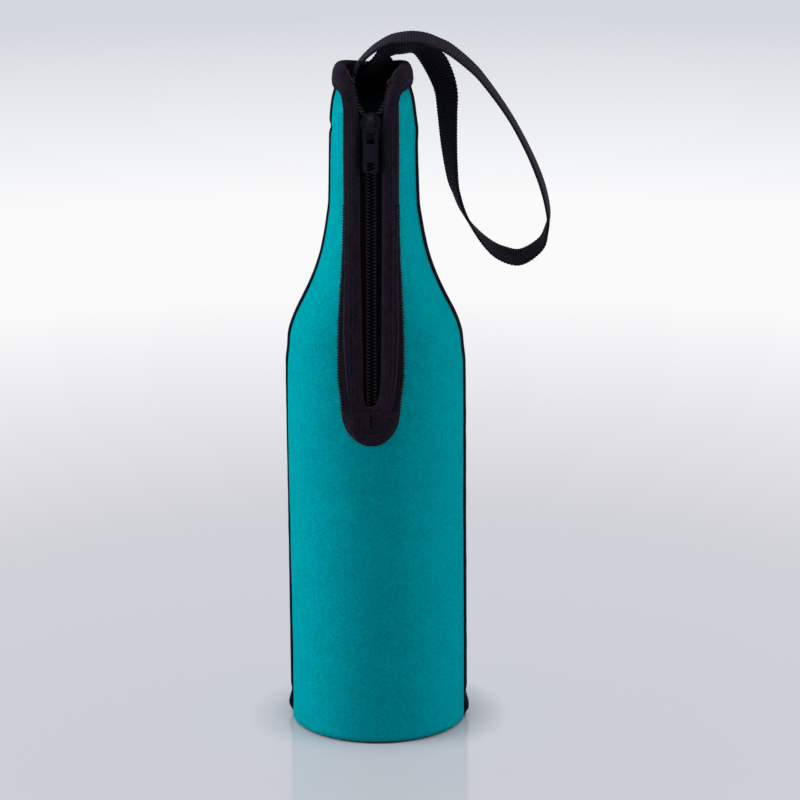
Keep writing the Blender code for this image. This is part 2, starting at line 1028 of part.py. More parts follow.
def make_slider(collection, cutters, frame):
    back_low, back_high, front_low, front_high = slider_levels()
    lap = plate_thickness / 2
    mesh = stand_up(plate_mesh("slider_body", [slider_outline()], front_low, front_high))
    body = add_object("slider_body", mesh, collection, black_metal())
    body.parent = frame
    lip_out = slider_lip_inner + slider_lip_thickness
    lip_low = -tape_depth + clearance
    tail_low = -slider_tail_length + slider_tail_half_width * slider_tail_corner_share
    parts = [
        stand_up(plate_mesh("back_plate", [slider_outline()], back_low, back_high)),
        box_mesh(
            "post",
            (-post_half_width, -front_low - lap, post_low),
            (post_half_width, -back_high + lap, post_low + post_length),
        ),
        stand_up(bridge_mesh(front_high, lap)),
    ]
    for side in (-1, 1):
        low, high = sorted((side * slider_lip_inner, side * lip_out))
        parts.append(
            box_mesh("lip", (low, -front_low - lap, tail_low), (high, -lip_low, slider_lip_top))
        )
    for mesh in parts:
        other = bpy.data.objects.new(mesh.name, mesh)
        cutters.objects.link(other)
        other.parent = frame
        other.hide_render = True
        other.display_type = "WIRE"
        join = body.modifiers.new(mesh.name, "BOOLEAN")
        join.operation = "UNION"
        join.solver = "EXACT"
        join.object = other


def bridge_mesh(floor, lap):
    """The loop over the pull's eye, drawn from the side and as wide as bridge_width."""
    foot, top, rise, bar = bridge_low, bridge_top, bridge_rise, bridge_bar
    slope = rise / 2
    outer = [
        (foot, floor - lap),
        (foot, floor + rise - slope),
        (foot + slope, floor + rise),
        (top - slope, floor + rise),
        (top, floor + rise - slope),
        (top, floor - lap),
    ]
    inner = [
        (top - bridge_leg, floor - lap),
        (top - bridge_leg, floor + rise - slope),
        (top - slope, floor + rise - bar),
        (foot + slope, floor + rise - bar),
        (foot + bridge_leg, floor + rise - slope),
        (foot + bridge_leg, floor - lap),
    ]
    mesh = plate_mesh("bridge", [outer + inner], -bridge_width / 2, bridge_width / 2)
    # Drawn with X up the zip and Y out of the bag: X to Y, Y to Z and Z to X
    mesh.transform(Matrix(((0, 0, 1, 0), (1, 0, 0, 0), (0, 1, 0, 0), (0, 0, 0, 1))))
    return mesh


def make_pull_tab(collection, frame):
    floor = slider_levels()[3]
    axis = Vector((0, -(floor + pull_gap + pull_thickness / 2), -pull_axis_below))
    top = pull_eye_bar / 2
    low = top - pull_length
    half = pull_width / 2
    eye_half = half - pull_frame
    window_low = -top - pull_eye_window
    outlines = [
        rounded_rectangle((-half, low), (half, top), pull_corner),
        rounded_rectangle((-eye_half, window_low), (eye_half, -top), pull_corner / 3),
        rounded_rectangle(
            (-eye_half, low + pull_end_bar), (eye_half, low + pull_end_bar + pull_end_window), pull_corner / 3
        ),
    ]
    mesh = stand_up(plate_mesh("pull_tab", outlines, -pull_thickness / 2, pull_thickness / 2))
    made = add_object("pull_tab", mesh, collection, black_metal())
    made.parent = frame
    made.location = axis


def spline_points(rows, steps):
    """Points of a Catmull-Rom curve through rows, steps for each gap."""
    rows = [Vector(row) for row in rows]
    ends = [rows[0] * 2 - rows[1]] + rows + [rows[-1] * 2 - rows[-2]]
    points = []
    for a, b, c, d in zip(ends, ends[1:], ends[2:], ends[3:]):
        for i in range(steps):
            t = i / steps
            bend = a * 2 - b * 5 + c * 4 - d
            swing = b * 3 - a - c * 3 + d
            points.append((b * 2 + (c - a) * t + bend * t**2 + swing * t**3) / 2)
    points.append(rows[-1])
    return points


def webbing_rings(rows, steps):
    """Sections of a flat strap along rows of (x, y, z, twist)."""
    points = spline_points(rows, steps)
    rings = []
    for i, point in enumerate(points):
        before, after = points[max(i - 1, 0)], points[min(i + 1, len(points) - 1)]
        run = (after.xyz - before.xyz).normalized()
        wide = Vector((0, 1, 0))
        wide = (wide - run * wide.dot(run)).normalized()
        wide = Matrix.Rotation(math.radians(point.w), 3, run) @ wide
        rings.append((point.xyz, run, wide, run.cross(wide)))
    return rings


def webbing_section(place, wide, thick, half_thickness):
    half = strap_width / 2
    corner = half_thickness * 0.5
    outline = (
        (-half, -half_thickness + corner),
        (-half + corner, -half_thickness),
        (half - corner, -half_thickness),
        (half, -half_thickness + corner),
        (half, half_thickness - corner),
        (half - corner, half_thickness),
        (-half + corner, half_thickness),
        (-half, half_thickness - corner),
    )
    return [place + wide * a + thick * b for a, b in outline]


def hinge_point():
    return Vector((hinge_along, hinge_depth, hinge_height))


def loop_rows():
    rows = [(*hinge_point(), 0)]
    for reach, deep, drop, twist in loop_shares:
        rows.append((reach * loop_reach, deep * strap_width, hinge_height + drop * loop_drop, twist))
    return rows


def make_strap_loop(collection):
    rings = []
    half = strap_thickness / 2
    stations = webbing_rings(loop_rows(), strap_steps)
    place, run, wide, thick = stations[0]
    # The end turns about the hinge line, so it is rounded round it
    for degrees in strap_round_degrees:
        angle = math.radians(degrees)
        rings.append(
            webbing_section(place - run * (half * math.sin(angle)), wide, thick, half * math.cos(angle))
        )
    for place, run, wide, thick in stations:
        rings.append(webbing_section(place, wide, thick, half))
    mesh = loft("strap_loop", rings)
    hinge = hinge_point()
    mesh.transform(Matrix.Translation(-hinge))
    made = add_object("strap_loop", mesh, collection, black_webbing())
    made.location = hinge


def end_row(shares):
    reach, deep, up, twist = shares
    return (reach * loop_reach, deep * strap_width, mix(end_low_height, hinge_height, up), twist)


def make_strap_ends(collection):
    """The two sewn ends, against the binding inside the mouth."""
    loop = webbing_rings(loop_rows(), strap_steps)
    half = strap_thickness / 2
    hinge, run = loop[0][0], loop[0][1]
    anchor = hinge - run * anchor_gap
    rows = [end_row(shares) for shares in left_end_shares] + [(*anchor, 0)]
    rings = [webbing_section(p, w, n, half) for p, _, w, n in webbing_rings(rows, strap_steps)[:-1]]
    rings.append(webbing_section(anchor, *loop[0][2:], half))
    add_object("strap_end_left", loft("strap_end_left", rings), collection, black_webbing())
    last, run, wide, thick = loop[-1]
    start = last + run * clearance
    rows = [(*start, loop_shares[-1][3])] + [end_row(shares) for shares in back_end_shares]
    rings = [webbing_section(start, wide, thick, half)]
    for p, _, w, n in webbing_rings(rows, strap_steps)[1:]:
        rings.append(webbing_section(p, w, n, half))
    add_object("strap_end_back", loft("strap_end_back", rings), collection, black_webbing())


def make_bartack(collection, name, shares, turn):
    """A bar of stitching that holds one end of the strap."""
    near = strap_thickness / 2 + clearance
    mesh = box_mesh(
        name,
        (near, -bartack_width / 2, 0),
        (near + bartack_thickness, bartack_width / 2, bartack_length),
        bartack_thickness / 4,
    )
    made = add_object(name, mesh, collection, black_thread())
    x, y = end_row(shares)[:2]
    made.location = (x, y, bartack_height - bartack_length)
    made.rotation_euler = (0, 0, turn)


def build():
    for old in list(bpy.data.objects):
        bpy.data.objects.remove(old)
    parts = new_collection(PART_NAME)
    cutters = new_collection("cutters")
    frame = bpy.data.objects.new("zip_frame", None)
    frame.matrix_world = line_frame()
    parts.objects.link(frame)
    bpy.context.view_layer.update()
    make_front_panel(parts)
    make_back_panel(parts)
    make_base(parts)
    make_side_seam(parts, "side_seam_left", -1)
    make_side_seam(parts, "side_seam_right", 1)
    make_rim_binding(parts)
    make_zip_binding(parts, "zip_binding_left", -1)
    make_zip_binding(parts, "zip_binding_right", 1)
    make_facing(parts, "zip_facing_left", -1)
    make_facing(parts, "zip_facing_right", 1)
    make_end_cover(parts)
    make_tape(parts, "zip_tape_left", -1)
    make_tape(parts, "zip_tape_right", 1)
    make_coil(parts, "zip_coil_left", -1)
    make_coil(parts, "zip_coil_right", 1)
    make_top_stop(parts, "top_stop_left", -1)
    make_top_stop(parts, "top_stop_right", 1)
    make_bottom_stop(parts)
    make_slider(parts, cutters, frame)
    make_pull_tab(parts, frame)
    make_strap_loop(parts)
    make_strap_ends(parts)
    make_bartack(parts, "strap_bartack_left", left_end_shares[0], 0)
    make_bartack(parts, "strap_bartack_back", back_end_shares[-1], -math.radians(back_end_shares[-1][3]))


build()
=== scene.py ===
"""Dresses the wine cooler bag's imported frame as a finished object, with a stage and a camera.

Metres, +Z up. The zip faces -Y and the strap hangs at +X. Run it as a script.
"""

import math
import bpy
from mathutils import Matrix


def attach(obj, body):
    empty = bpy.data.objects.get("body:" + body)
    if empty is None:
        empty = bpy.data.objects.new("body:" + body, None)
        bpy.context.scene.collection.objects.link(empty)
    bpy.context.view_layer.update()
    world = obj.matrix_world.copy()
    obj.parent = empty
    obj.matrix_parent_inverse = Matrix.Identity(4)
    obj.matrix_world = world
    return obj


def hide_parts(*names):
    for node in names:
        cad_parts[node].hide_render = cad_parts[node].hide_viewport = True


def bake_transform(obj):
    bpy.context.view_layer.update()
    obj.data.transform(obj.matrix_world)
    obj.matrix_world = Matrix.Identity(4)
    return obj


bl_info = {
    "name": "Wine cooler bag",
    "version": (1, 0, 0),
    "blender": (4, 5, 0),
    "location": "View3D > Sidebar > Cooler Bag",
    "description": "Builds the neoprene sleeve, its bindings, zip and strap, and a studio stage",
    "category": "Object",
}

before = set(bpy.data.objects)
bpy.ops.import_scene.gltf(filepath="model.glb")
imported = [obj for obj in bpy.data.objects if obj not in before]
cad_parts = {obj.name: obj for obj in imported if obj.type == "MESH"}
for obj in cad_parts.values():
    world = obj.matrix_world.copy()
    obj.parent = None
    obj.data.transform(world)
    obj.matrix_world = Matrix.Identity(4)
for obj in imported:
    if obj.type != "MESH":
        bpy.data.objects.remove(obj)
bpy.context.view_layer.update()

import bmesh
import bpy
from bpy.props import FloatProperty, FloatVectorProperty, PointerProperty
from mathutils import Matrix, Vector, noise

MM = 0.001

# The sewn body, in metres: radii of the sides, reach of the zip's line, and the heights where they change
WALL = 0.003
BODY_RADIUS = 0.042
NECK_RADIUS = 0.0206
BASE_FLARE = 0.0002
BASE_FLARE_HEIGHT = 0.009
SHOULDER_HEIGHT = 0.1804
NECK_HEIGHT = 0.2594
COLLAR_HEIGHT = 0.2984
BACK_EDGE = 0.3227
FRONT_EDGE = 0.3259
SEAT = 0.0011
# Shares of the step from the neck's radius to the body's, at even heights up the shoulder
SHOULDER = (1.0, 0.965, 0.925, 0.805, 0.625, 0.45, 0.302, 0.19, 0.112, 0.05, 0.0)
# Collar, throat, the pinch under the rim's binding, and the mouth
TOP_ROWS = ((COLLAR_HEIGHT, 0.0195), (0.3095, 0.0184), (0.3160, 0.0169), (FRONT_EDGE, 0.0166))
MOUTH_REACH = 0.020
LINE_LOW = 0.1744
LINE_REACH = 0.0434
SWELL = 0.1124
FLAT_HEIGHT = 0.2024
LINE_SLOPE = (LINE_REACH - MOUTH_REACH) / (FRONT_EDGE - LINE_LOW)
LINE_LEAN = math.atan(LINE_SLOPE)
# The side seam's place off the quarter lines, and the front's columns beside the zip's opening and across it
SEAM = 0.3 * MM
WING_COLUMNS = 26
SLOT_CELLS = 8
# Powers of the front's outline, which is round on the body and squarer at the neck
ROUND_POWER = 2
NECK_POWER = 2.5
# Steps of an outline's table of lengths, and how many different heights in a metre have their own
ARC_STEPS = 32
KEYS = 2e5

# The zip's opening and what is sewn round it
SLOT = 0.007
SLOT_LOW = 0.1624
COVER_TOP = 0.1681
COVER_LOW = 0.1516
COVER_HALF = 0.01575
PATCH_HALF = 0.0142
FACING_HALF = 0.0139
FACING_WIDEN_LOW = 0.1974
FACING_WIDEN_HIGH = 0.2524
BAND = 0.0063
RIM_BAND = 0.0093
# How much narrower the band beside the zip is at the neck
NECK_IN = 0.0012
NOSE = 0.0015
CORNER_ALONG = 0.0185
CORNER_RISE = 0.012
# Where the two folds of binding meet over the zip's lower end
MEET = COVER_TOP + 0.0016
TAPE_DEPTH = 0.0042
TAPE_LOW = 0.1636
TAPE_TOP = 0.3229
COIL_HALF = 0.00155
PART_LOW = 0.3045
PART_HIGH = 0.3135
COIL_LOW = 0.1688
COIL_TOP = 0.3209
STOP_HEIGHT = 0.1694
SLIDER_HEIGHT = 0.3030
PUCKER_TOP = 0.2924
OVERLOCK_TOP = 0.2644
TAPE_WIDTH = 0.0106
COIL_DEPTH = 0.00275

# Colour of the far end of the floor and of what is beyond it
HAZE = "#D3D7DE"

# The wrist strap
HINGE = Vector((-0.0036, 0.003, 0.3294))
LOOP_REACH = 0.0828
LOOP_DROP = 0.0979
STRAP_WIDTH = 0.015
STRAP_THICK = 0.0014
STRAP_FOOT = 0.3104
BARTACK_LOW = 0.3117
BARTACK_HIGH = 0.3134
# Middle line of the webbing: shares of its reach, its width and its drop, and its twist in degrees. The sewn
# ends have their height as a share of the way from their foot to the hinge
LEFT_END = (
    (-0.1087, -0.067, 0.0, 0), (-0.1087, -0.067, 0.47, 0), (-0.0978, 0.021, 0.66, 0),
    (-0.0808, 0.156, 0.81, 0),
)
LOOP = (
    (0.012, 0.2, 0.041, 1), (0.0872, 0.2, 0.0775, 3), (0.1449, 0.2, 0.0897, 6), (0.2245, 0.2, 0.0948, 8),
    (0.2995, 0.2, 0.0875, 7), (0.3601, 0.2, 0.0687, 6.5), (0.4391, 0.2, 0.0358, 6),
    (0.5517, 0.2, -0.042, 4), (0.6351, 0.2, -0.1193, 2), (0.7755, 0.2, -0.2905, 0),
    (0.8876, 0.2, -0.4705, 1), (0.965, 0.2, -0.6364, 3), (1.0011, 0.2, -0.7783, 2),
    (0.992, 0.2, -0.8552, -2), (0.954, 0.2, -0.9352, -9), (0.8399, 0.2, -0.9986, -14),
    (0.7291, 0.2, -0.9791, -11), (0.6454, 0.2, -0.9288, -2.5), (0.5646, 0.2, -0.8485, 7),
    (0.508, 0.2, -0.765, 12), (0.475, 0.2, -0.6861, 15.5), (0.452, 0.233, -0.6133, 21),
    (0.432, 0.3, -0.4577, 30), (0.4214, 0.367, -0.2828, 39), (0.416, 0.413, -0.1844, 47),
    (0.389, 0.467, -0.1044, 55), (0.336, 0.533, -0.022, 57), (0.25, 0.526, 0.0337, 36),
    (0.1567, 0.38, 0.0337, 31), (0.1114, 0.343, 0.0285, 30), (0.0772, 0.295, 0.0153, 31),
)
BACK_END = (
    (0.0565, 0.238, 0.905, 38), (0.0355, 0.247, 0.774, 43), (0.0144, 0.307, 0.584, 54),
    (-0.0024, 0.51, 0.353, 74), (-0.0127, 0.555, 0.168, 80), (-0.0127, 0.555, 0.0, 81),
)

UP = Vector((0, 0, 1))
SIDES = ((-1, "left"), (1, "right"))


def mix(low, high, share):
    return low + (high - low) * share


def ease(share):
    share = min(max(share, 0), 1)
    return share * share * (3 - 2 * share)


def uneven(x, y, z):
    """Smooth noise from -1 to 1."""
    return noise.noise(Vector((x, y, z)))


def bell(value, width):
    """1 at nought, and less on both sides over a width."""
    return math.exp(-((value / width) ** 2))


def hermite(low, high, slope_low, slope_high, gap, t):
    return (
        (2 * t**3 - 3 * t**2 + 1) * low
        + (t**3 - 2 * t**2 + t) * gap * slope_low
        + (3 * t**2 - 2 * t**3) * high
        + (t**3 - t**2) * gap * slope_high
    )


def side_rows():
    rows = [(0, BODY_RADIUS + BASE_FLARE), (BASE_FLARE_HEIGHT, BODY_RADIUS)]
    rows.append((mix(BASE_FLARE_HEIGHT, SHOULDER_HEIGHT, 0.5), BODY_RADIUS))
    last = len(SHOULDER) - 1
    for i, share in enumerate(SHOULDER):
        rows.append((mix(SHOULDER_HEIGHT, NECK_HEIGHT, i / last), mix(NECK_RADIUS, BODY_RADIUS, share)))
    return rows + list(TOP_ROWS)


SIDE_ROWS = side_rows()
CACHE = {}


def side_radius(height):
    """The body's half width from side to side."""
    rows = SIDE_ROWS
    height = min(max(height, rows[0][0]), rows[-1][0])
    i = max(k for k in range(len(rows) - 1) if rows[k][0] <= height)

    def slope(k):
        low, high = rows[max(k - 1, 0)], rows[min(k + 1, len(rows) - 1)]
        return (high[1] - low[1]) / (high[0] - low[0])

    gap = rows[i + 1][0] - rows[i][0]
    return hermite(rows[i][1], rows[i + 1][1], slope(i), slope(i + 1), gap, (height - rows[i][0]) / gap)


def front_reach(height):
    """How far the zip's line stands before the axis: straight from the mouth down to the body."""
    if height >= LINE_LOW:
        return MOUTH_REACH + (FRONT_EDGE - height) * LINE_SLOPE
    if height <= SWELL:
        return side_radius(height)
    gap = LINE_LOW - SWELL
    return hermite(BODY_RADIUS, LINE_REACH, 0, -LINE_SLOPE, gap, (height - SWELL) / gap)


def section(height):
    """Half widths, power and quarter-arc table of the body's section at one height."""
    key = round(height * KEYS)
    if key not in CACHE:
        side, front = side_radius(height), front_reach(height)
        power = mix(ROUND_POWER, NECK_POWER, ease((height - SWELL) / (FLAT_HEIGHT - SWELL)))
        table = [(0, 0)]
        last = quarter_point(side, front, power, 0)
        for step in range(1, ARC_STEPS + 1):
            angle = math.pi / 2 * step / ARC_STEPS
            point = quarter_point(side, front, power, angle)
            table.append((table[-1][0] + (point - last).length, angle))
            last = point
        CACHE[key] = (side, front, power, table)
    return CACHE[key]


def quarter_point(side, front, power, angle):
    across, forward = math.sin(angle), math.cos(angle)
    if forward <= 0:
        return Vector((side * across, -side * forward))
    x = math.copysign(side * abs(across) ** (2 / power), across)
    return Vector((x, -front * forward ** (2 / power)))


def quarter(height):
    return section(height)[3][-1][0]


def half_girth(height):
    return quarter(height) + section(height)[0] * math.pi / 2


def angle_at(along, height):
    """The angle round a section at which its girth reaches a length."""
    side, _, _, table = section(height)
    length = abs(along)
    if length >= table[-1][0]:
        return math.copysign(math.pi / 2 + (length - table[-1][0]) / side, along)
    i = min(int(length / table[-1][0] * ARC_STEPS), ARC_STEPS - 1)
    while table[i][0] > length:
        i -= 1
    while table[i + 1][0] < length:
        i += 1
    (l0, a0), (l1, a1) = table[i], table[i + 1]
    return math.copysign(mix(a0, a1, (length - l0) / (l1 - l0)), along)


def surface(along, height):
    side, front, power, _ = section(height)
    point = quarter_point(side, front, power, angle_at(along, height))
    return Vector((point.x, point.y, height))


def skin(along, height, out=0.0):
    """A point by its place round the girth from the zip's line, its height, and its rise off the cloth."""
    step = 0.3 * MM
    sideways = surface(along + step, height) - surface(along - step, height)
    upwards = surface(along, height + step) - surface(along, height - step)
    return surface(along, height) + sideways.cross(upwards).normalized() * out


def edge_height(along, height):
    """The mouth's edge: higher in front than behind."""
    angle = abs(angle_at(along, height))
    return mix(FRONT_EDGE, BACK_EDGE, ease(angle / (math.pi / 2) - 1))


def bezier(points, t):
    a, b, c, d = points
    s = 1 - t
    return a * s**3 + b * (3 * s * s * t) + c * (3 * s * t * t) + d * t**3


def corner_edge(t):
    """The neoprene's cut edge at the mouth's front corner, as (along, height)."""
    points = (
        (SLOT, COLLAR_HEIGHT),
        (SLOT + 0.2 * MM, COLLAR_HEIGHT + CORNER_RISE),
        (SLOT + 4 * MM, FRONT_EDGE - 0.2 * MM),
        (CORNER_ALONG, FRONT_EDGE),
    )
    return bezier([Vector(p) for p in points], t)


def corner_leg(t):
    """The sewn edge of the binding's outer leg at the same corner."""
    top, side = FRONT_EDGE - RIM_BAND, SLOT + BAND - NECK_IN
    points = ((side, COLLAR_HEIGHT), (side, top - NOSE), (side + NOSE, top), (CORNER_ALONG, top))
    return bezier([Vector(p) for p in points], t)


def corner_off(t):
    """The way out over the cut edge at the same corner."""
    if t <= 0:
        return Vector((-1, 0))
    if t >= 1:
        return Vector((0, 1))
    run = (corner_edge(min(t + 0.02, 1)) - corner_edge(max(t - 0.02, 0))).normalized()
    return Vector((-run.y, run.x))


def nose_along(height):
    """The binding's inner edge at a height."""
    if height <= COLLAR_HEIGHT:
        return SLOT - NOSE
    low, high = 0.0, 1.0
    for _ in range(20):
        t = (low + high) / 2
        if (corner_edge(t) + corner_off(t) * NOSE).y < height:
            low = t
        else:
            high = t
    return (corner_edge(low) + corner_off(low) * NOSE).x


def coil_middle(height):
    """Where the coil runs: closed below the slider, and under the binding's fold where the zip is open."""
    closed = COIL_HALF + 0.05 * MM
    tucked = nose_along(max(height, PART_HIGH)) - COIL_HALF + 3.0 * MM
    return mix(closed, tucked, parted(height))


def parted(height):
    """0 where the zip is closed, 1 where its sides follow the open mouth."""
    return min(max((height - PART_LOW) / (PART_HIGH - PART_LOW), 0), 1)


def linear(code):
    """An sRGB hex colour as linear values."""
    values = [int(code[i : i + 2], 16) / 255 for i in (1, 3, 5)]
    return [v / 12.92 if v <= 0.04045 else ((v + 0.055) / 1.055) ** 2.4 for v in values]


def add(tree, kind, settings=(), links=()):
    """A node with its settings and its links from other sockets, by name or by place."""
    made = tree.nodes.new(kind)
    for name, value in dict(settings).items():
        if isinstance(name, int) or name in made.inputs:
            made.inputs[name].default_value = value
        else:
            setattr(made, name, value)
    for name, source in dict(links).items():
        tree.links.new(source, made.inputs[name])
    return made


def new_material(name):
    """An empty material: its node tree and its two surface coordinates."""
    made = bpy.data.materials.new(name)
    made.use_nodes = True
    place = add(made.node_tree, "ShaderNodeTexCoord").outputs
    return made, made.node_tree, place["Object"], place["UV"]


def ramp(tree, source, stops):
    """A colour ramp, with each stop as its place and its colour."""
    made = add(tree, "ShaderNodeValToRGB", (), {0: source})
    band = made.color_ramp
    while len(band.elements) < len(stops):
        band.elements.new(0.5)
    for element, (place, colour) in zip(band.elements, stops):
        element.position = place
        element.color = (*colour, 1)
    return made.outputs[0]


def math_node(tree, operation, *values):
    """One sum on values or sockets."""
    made = add(tree, "ShaderNodeMath", {"operation": operation})
    for socket, value in zip(made.inputs, values):
        if isinstance(value, (int, float)):
            socket.default_value = value
        else:
            tree.links.new(value, socket)
    return made.outputs[0]


def shades(tree, source, colour, *stops):
    """A ramp through one colour, with each stop as its place and its brightness."""
    return ramp(tree, source, [(place, [c * share for c in colour]) for place, share in stops])


def cloud(tree, place, size, detail=2.0, roughness=0.5):
    """Noise of a size in metres, from 0 to 1."""
    settings = {"Scale": 1 / size, "Detail": detail, "Roughness": roughness}
    return add(tree, "ShaderNodeTexNoise", settings, {"Vector": place}).outputs["Fac"]


def waves(tree, uv, axis, pitch, wobble=0.0):
    """Sine waves of a pitch in metres along one axis of the UV map, moved by a wobble."""
    along = add(tree, "ShaderNodeSeparateXYZ", (), {0: uv}).outputs[axis]
    phase = math_node(tree, "MULTIPLY", along, 2 * math.pi / pitch)
    return math_node(tree, "SINE", math_node(tree, "ADD", phase, wobble))


def dress(tree, tone, values, bump=None):
    """Gives the shader its colour, its values and its bump, as height, strength and distance."""
    shader = tree.nodes["Principled BSDF"]
    tree.links.new(tone, shader.inputs["Base Color"])
    for name, value in values.items():
        shader.inputs[name].default_value = value
    if bump:
        height, strength, distance = bump
        made = add(tree, "ShaderNodeBump", {"Strength": strength, "Distance": distance}, {"Height": height})
        tree.links.new(made.outputs[0], shader.inputs["Normal"])
    return shader


def neoprene_jersey(name, colour):
    """Nylon jersey laminated on neoprene foam: deep matt colour, with a grain of loops and faint wales."""
    made, tree, place, uv = new_material(name)
    # Loops of the knit are about 0.4 mm; both patterns are drawn at about 1 mm so that they show
    grain = cloud(tree, place, 0.0011, 3.0, 0.7)
    wales = waves(tree, uv, "X", 0.00105, math_node(tree, "MULTIPLY", grain, 3.0))
    height = math_node(tree, "MULTIPLY_ADD", wales, 0.05, grain)
    tone = shades(tree, cloud(tree, place, 0.012, 3.0, 0.6), colour, (0.3, 0.95), (0.7, 1.05))
    speck = shades(tree, height, (1, 1, 1), (0.3, 0.76), (0.7, 1.24))
    blend = {"data_type": "RGBA", "blend_type": "MULTIPLY", "Factor": 1.0}
    blended = add(tree, "ShaderNodeMix", blend, {6: tone, 7: speck}).outputs[2]
    dress(tree, blended, {"Roughness": 0.95, "Specular IOR Level": 0.0}, (height, 0.5, 0.00012))
    return made


def knit_binding(name, colour, rib):
    """Brushed polyester knit: near black with a violet cast, ribs along its length and a short nap."""
    made, tree, place, uv = new_material(name)
    nap = cloud(tree, place, 0.0008, 4.0, 0.65)
    ribs = waves(tree, uv, "X", rib, math_node(tree, "MULTIPLY", nap, 1.2))
    height = math_node(tree, "MULTIPLY_ADD", ribs, 0.11, nap)
    patchy = math_node(tree, "MULTIPLY_ADD", cloud(tree, place, 0.005), 0.3, height)
    tone = shades(tree, math_node(tree, "MULTIPLY", patchy, 0.77), colour, (0.39, 0.5), (0.6, 1.75))
    sheen = {"Sheen Weight": 0.03, "Sheen Roughness": 0.4, "Sheen Tint": (0.75, 0.65, 0.95, 1)}
    dress(tree, tone, {"Roughness": 0.95, "Specular IOR Level": 0.04, **sheen}, (height, 0.6, 0.0002))
    return made


def woven(name, colour, across, along, depth, sheen):
    """Woven polyester: warp and weft yarns that cross at real spacings, in metres, with a slight lustre."""
    made, tree, place, uv = new_material(name)
    weft = waves(tree, uv, "Y", along)
    cross = math_node(tree, "MULTIPLY", waves(tree, uv, "X", across), weft)
    height = math_node(tree, "MULTIPLY_ADD", cross, 0.2, math_node(tree, "MULTIPLY", weft, 0.5))
    height = math_node(tree, "MULTIPLY_ADD", cloud(tree, place, 0.0005), 0.5, height)
    level = math_node(tree, "MULTIPLY_ADD", height, 0.5, 0.35)
    tone = shades(tree, level, colour, (0.2, 0.3), (0.9, 2.1))
    lustre = {"Sheen Weight": sheen, "Sheen Tint": (0.85, 0.8, 1.0, 1)}
    dress(tree, tone, {"Roughness": 0.8, "Specular IOR Level": 0.05, **lustre}, (height, 0.8, depth))
    return made


def nylon_coil(name, colour):
    """Extruded nylon monofilament: smooth, slightly glossy and near black."""
    made, tree, place, _ = new_material(name)
    tone = shades(tree, cloud(tree, place, 0.002), colour, (0.3, 0.7), (0.7, 1.3))
    dress(tree, tone, {"Roughness": 0.4, "Specular IOR Level": 0.2})
    return made


def enamelled_zinc(name, colour):
    """Die-cast zinc under black enamel: satin, with fine orange peel and slightly paler rubbed spots."""
    made, tree, place, _ = new_material(name)
    rub = cloud(tree, place, 0.004, 4.0)
    tone = shades(tree, rub, colour, (0.35, 0.8), (0.75, 1.4))
    peel = (cloud(tree, place, 0.0009, 3.0), 0.15, 0.00005)
    # The rubbed bevels are paler, with a violet cast
    sheen = {"Sheen Weight": 0.05, "Sheen Roughness": 0.3, "Sheen Tint": (0.8, 0.75, 1.0, 1)}
    shader = dress(tree, tone, {"Specular IOR Level": 0.08, **sheen}, peel)
    tree.links.new(math_node(tree, "MULTIPLY_ADD", rub, 0.2, 0.42), shader.inputs["Roughness"])
    return made


def sewing_thread(name, colour):
    """Spun polyester thread: matt with a twist about every 0.6 mm."""
    made, tree, _, uv = new_material(name)
    twist = {"Scale": 1 / 0.0012, "Distortion": 0.0, "bands_direction": "DIAGONAL"}
    wave = add(tree, "ShaderNodeTexWave", twist, {"Vector": uv}).outputs["Fac"]
    tone = shades(tree, wave, colour, (0.2, 0.6), (0.8, 1.4))
    dress(tree, tone, {"Roughness": 0.7, "Specular IOR Level": 0.15})
    return made


def material(stuff):
    """The one material of a slot's stuff, or of the side strips' finer knit."""
    c = colours()
    name, make, *values = {
        "teal_neoprene": ("neoprene_jersey", neoprene_jersey, c.body),
        "black_knit": ("knit_binding", knit_binding, c.binding, 0.00125),
        "fine_knit": ("knit_strip", knit_binding, c.binding, 0.0006),
        "black_tape": ("zip_tape", woven, linear("#131216"), 0.0011, 0.0008, 0.00008, 0.05),
        "black_nylon": ("nylon_monofilament", nylon_coil, linear("#0F0E13")),
        "black_webbing": ("ribbed_webbing", woven, c.webbing, 0.0021, 0.0015, 0.00025, 0.015),
        "black_metal": ("black_enamel_on_zinc", enamelled_zinc, c.metal),
        "black_thread": ("polyester_thread", sewing_thread, c.thread),
    }[stuff]
    return bpy.data.materials.get(name) or make(name, *values)


def to_object(name, work, slot, stands_for=(), body="bag", stuff=None, sharp=None):
    """Makes a piece from a bmesh, gives it its finish and sets it on its body of the frame."""
    mesh = bpy.data.meshes.new(name)
    work.to_mesh(mesh)
    work.free()
    mesh.shade_smooth()
    if sharp:
        mesh.set_sharp_from_angle(angle=math.radians(sharp))
    mesh.materials.append(material(stuff or slot))
    made = bpy.data.objects.new(name, mesh)
    bpy.context.scene.collection.objects.link(made)
    if stands_for:
        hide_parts(*stands_for)
    if body:
        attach(made, body)
    return made


def shell(name, work, slot, node, thickness, even):
    """A sheet that faces away from the bag's axis, with its thickness behind it."""
    bmesh.ops.recalc_face_normals(work, faces=work.faces)
    face = max(work.faces, key=lambda f: f.calc_center_median().xy.length)
    if face.normal.xy.dot(face.calc_center_median().xy) < 0:
        bmesh.ops.reverse_faces(work, faces=work.faces)
    thick = to_object(name, work, slot, (node,)).modifiers.new("Cloth", "SOLIDIFY")
    thick.thickness = thickness
    thick.offset = -1
    thick.use_even_offset = even


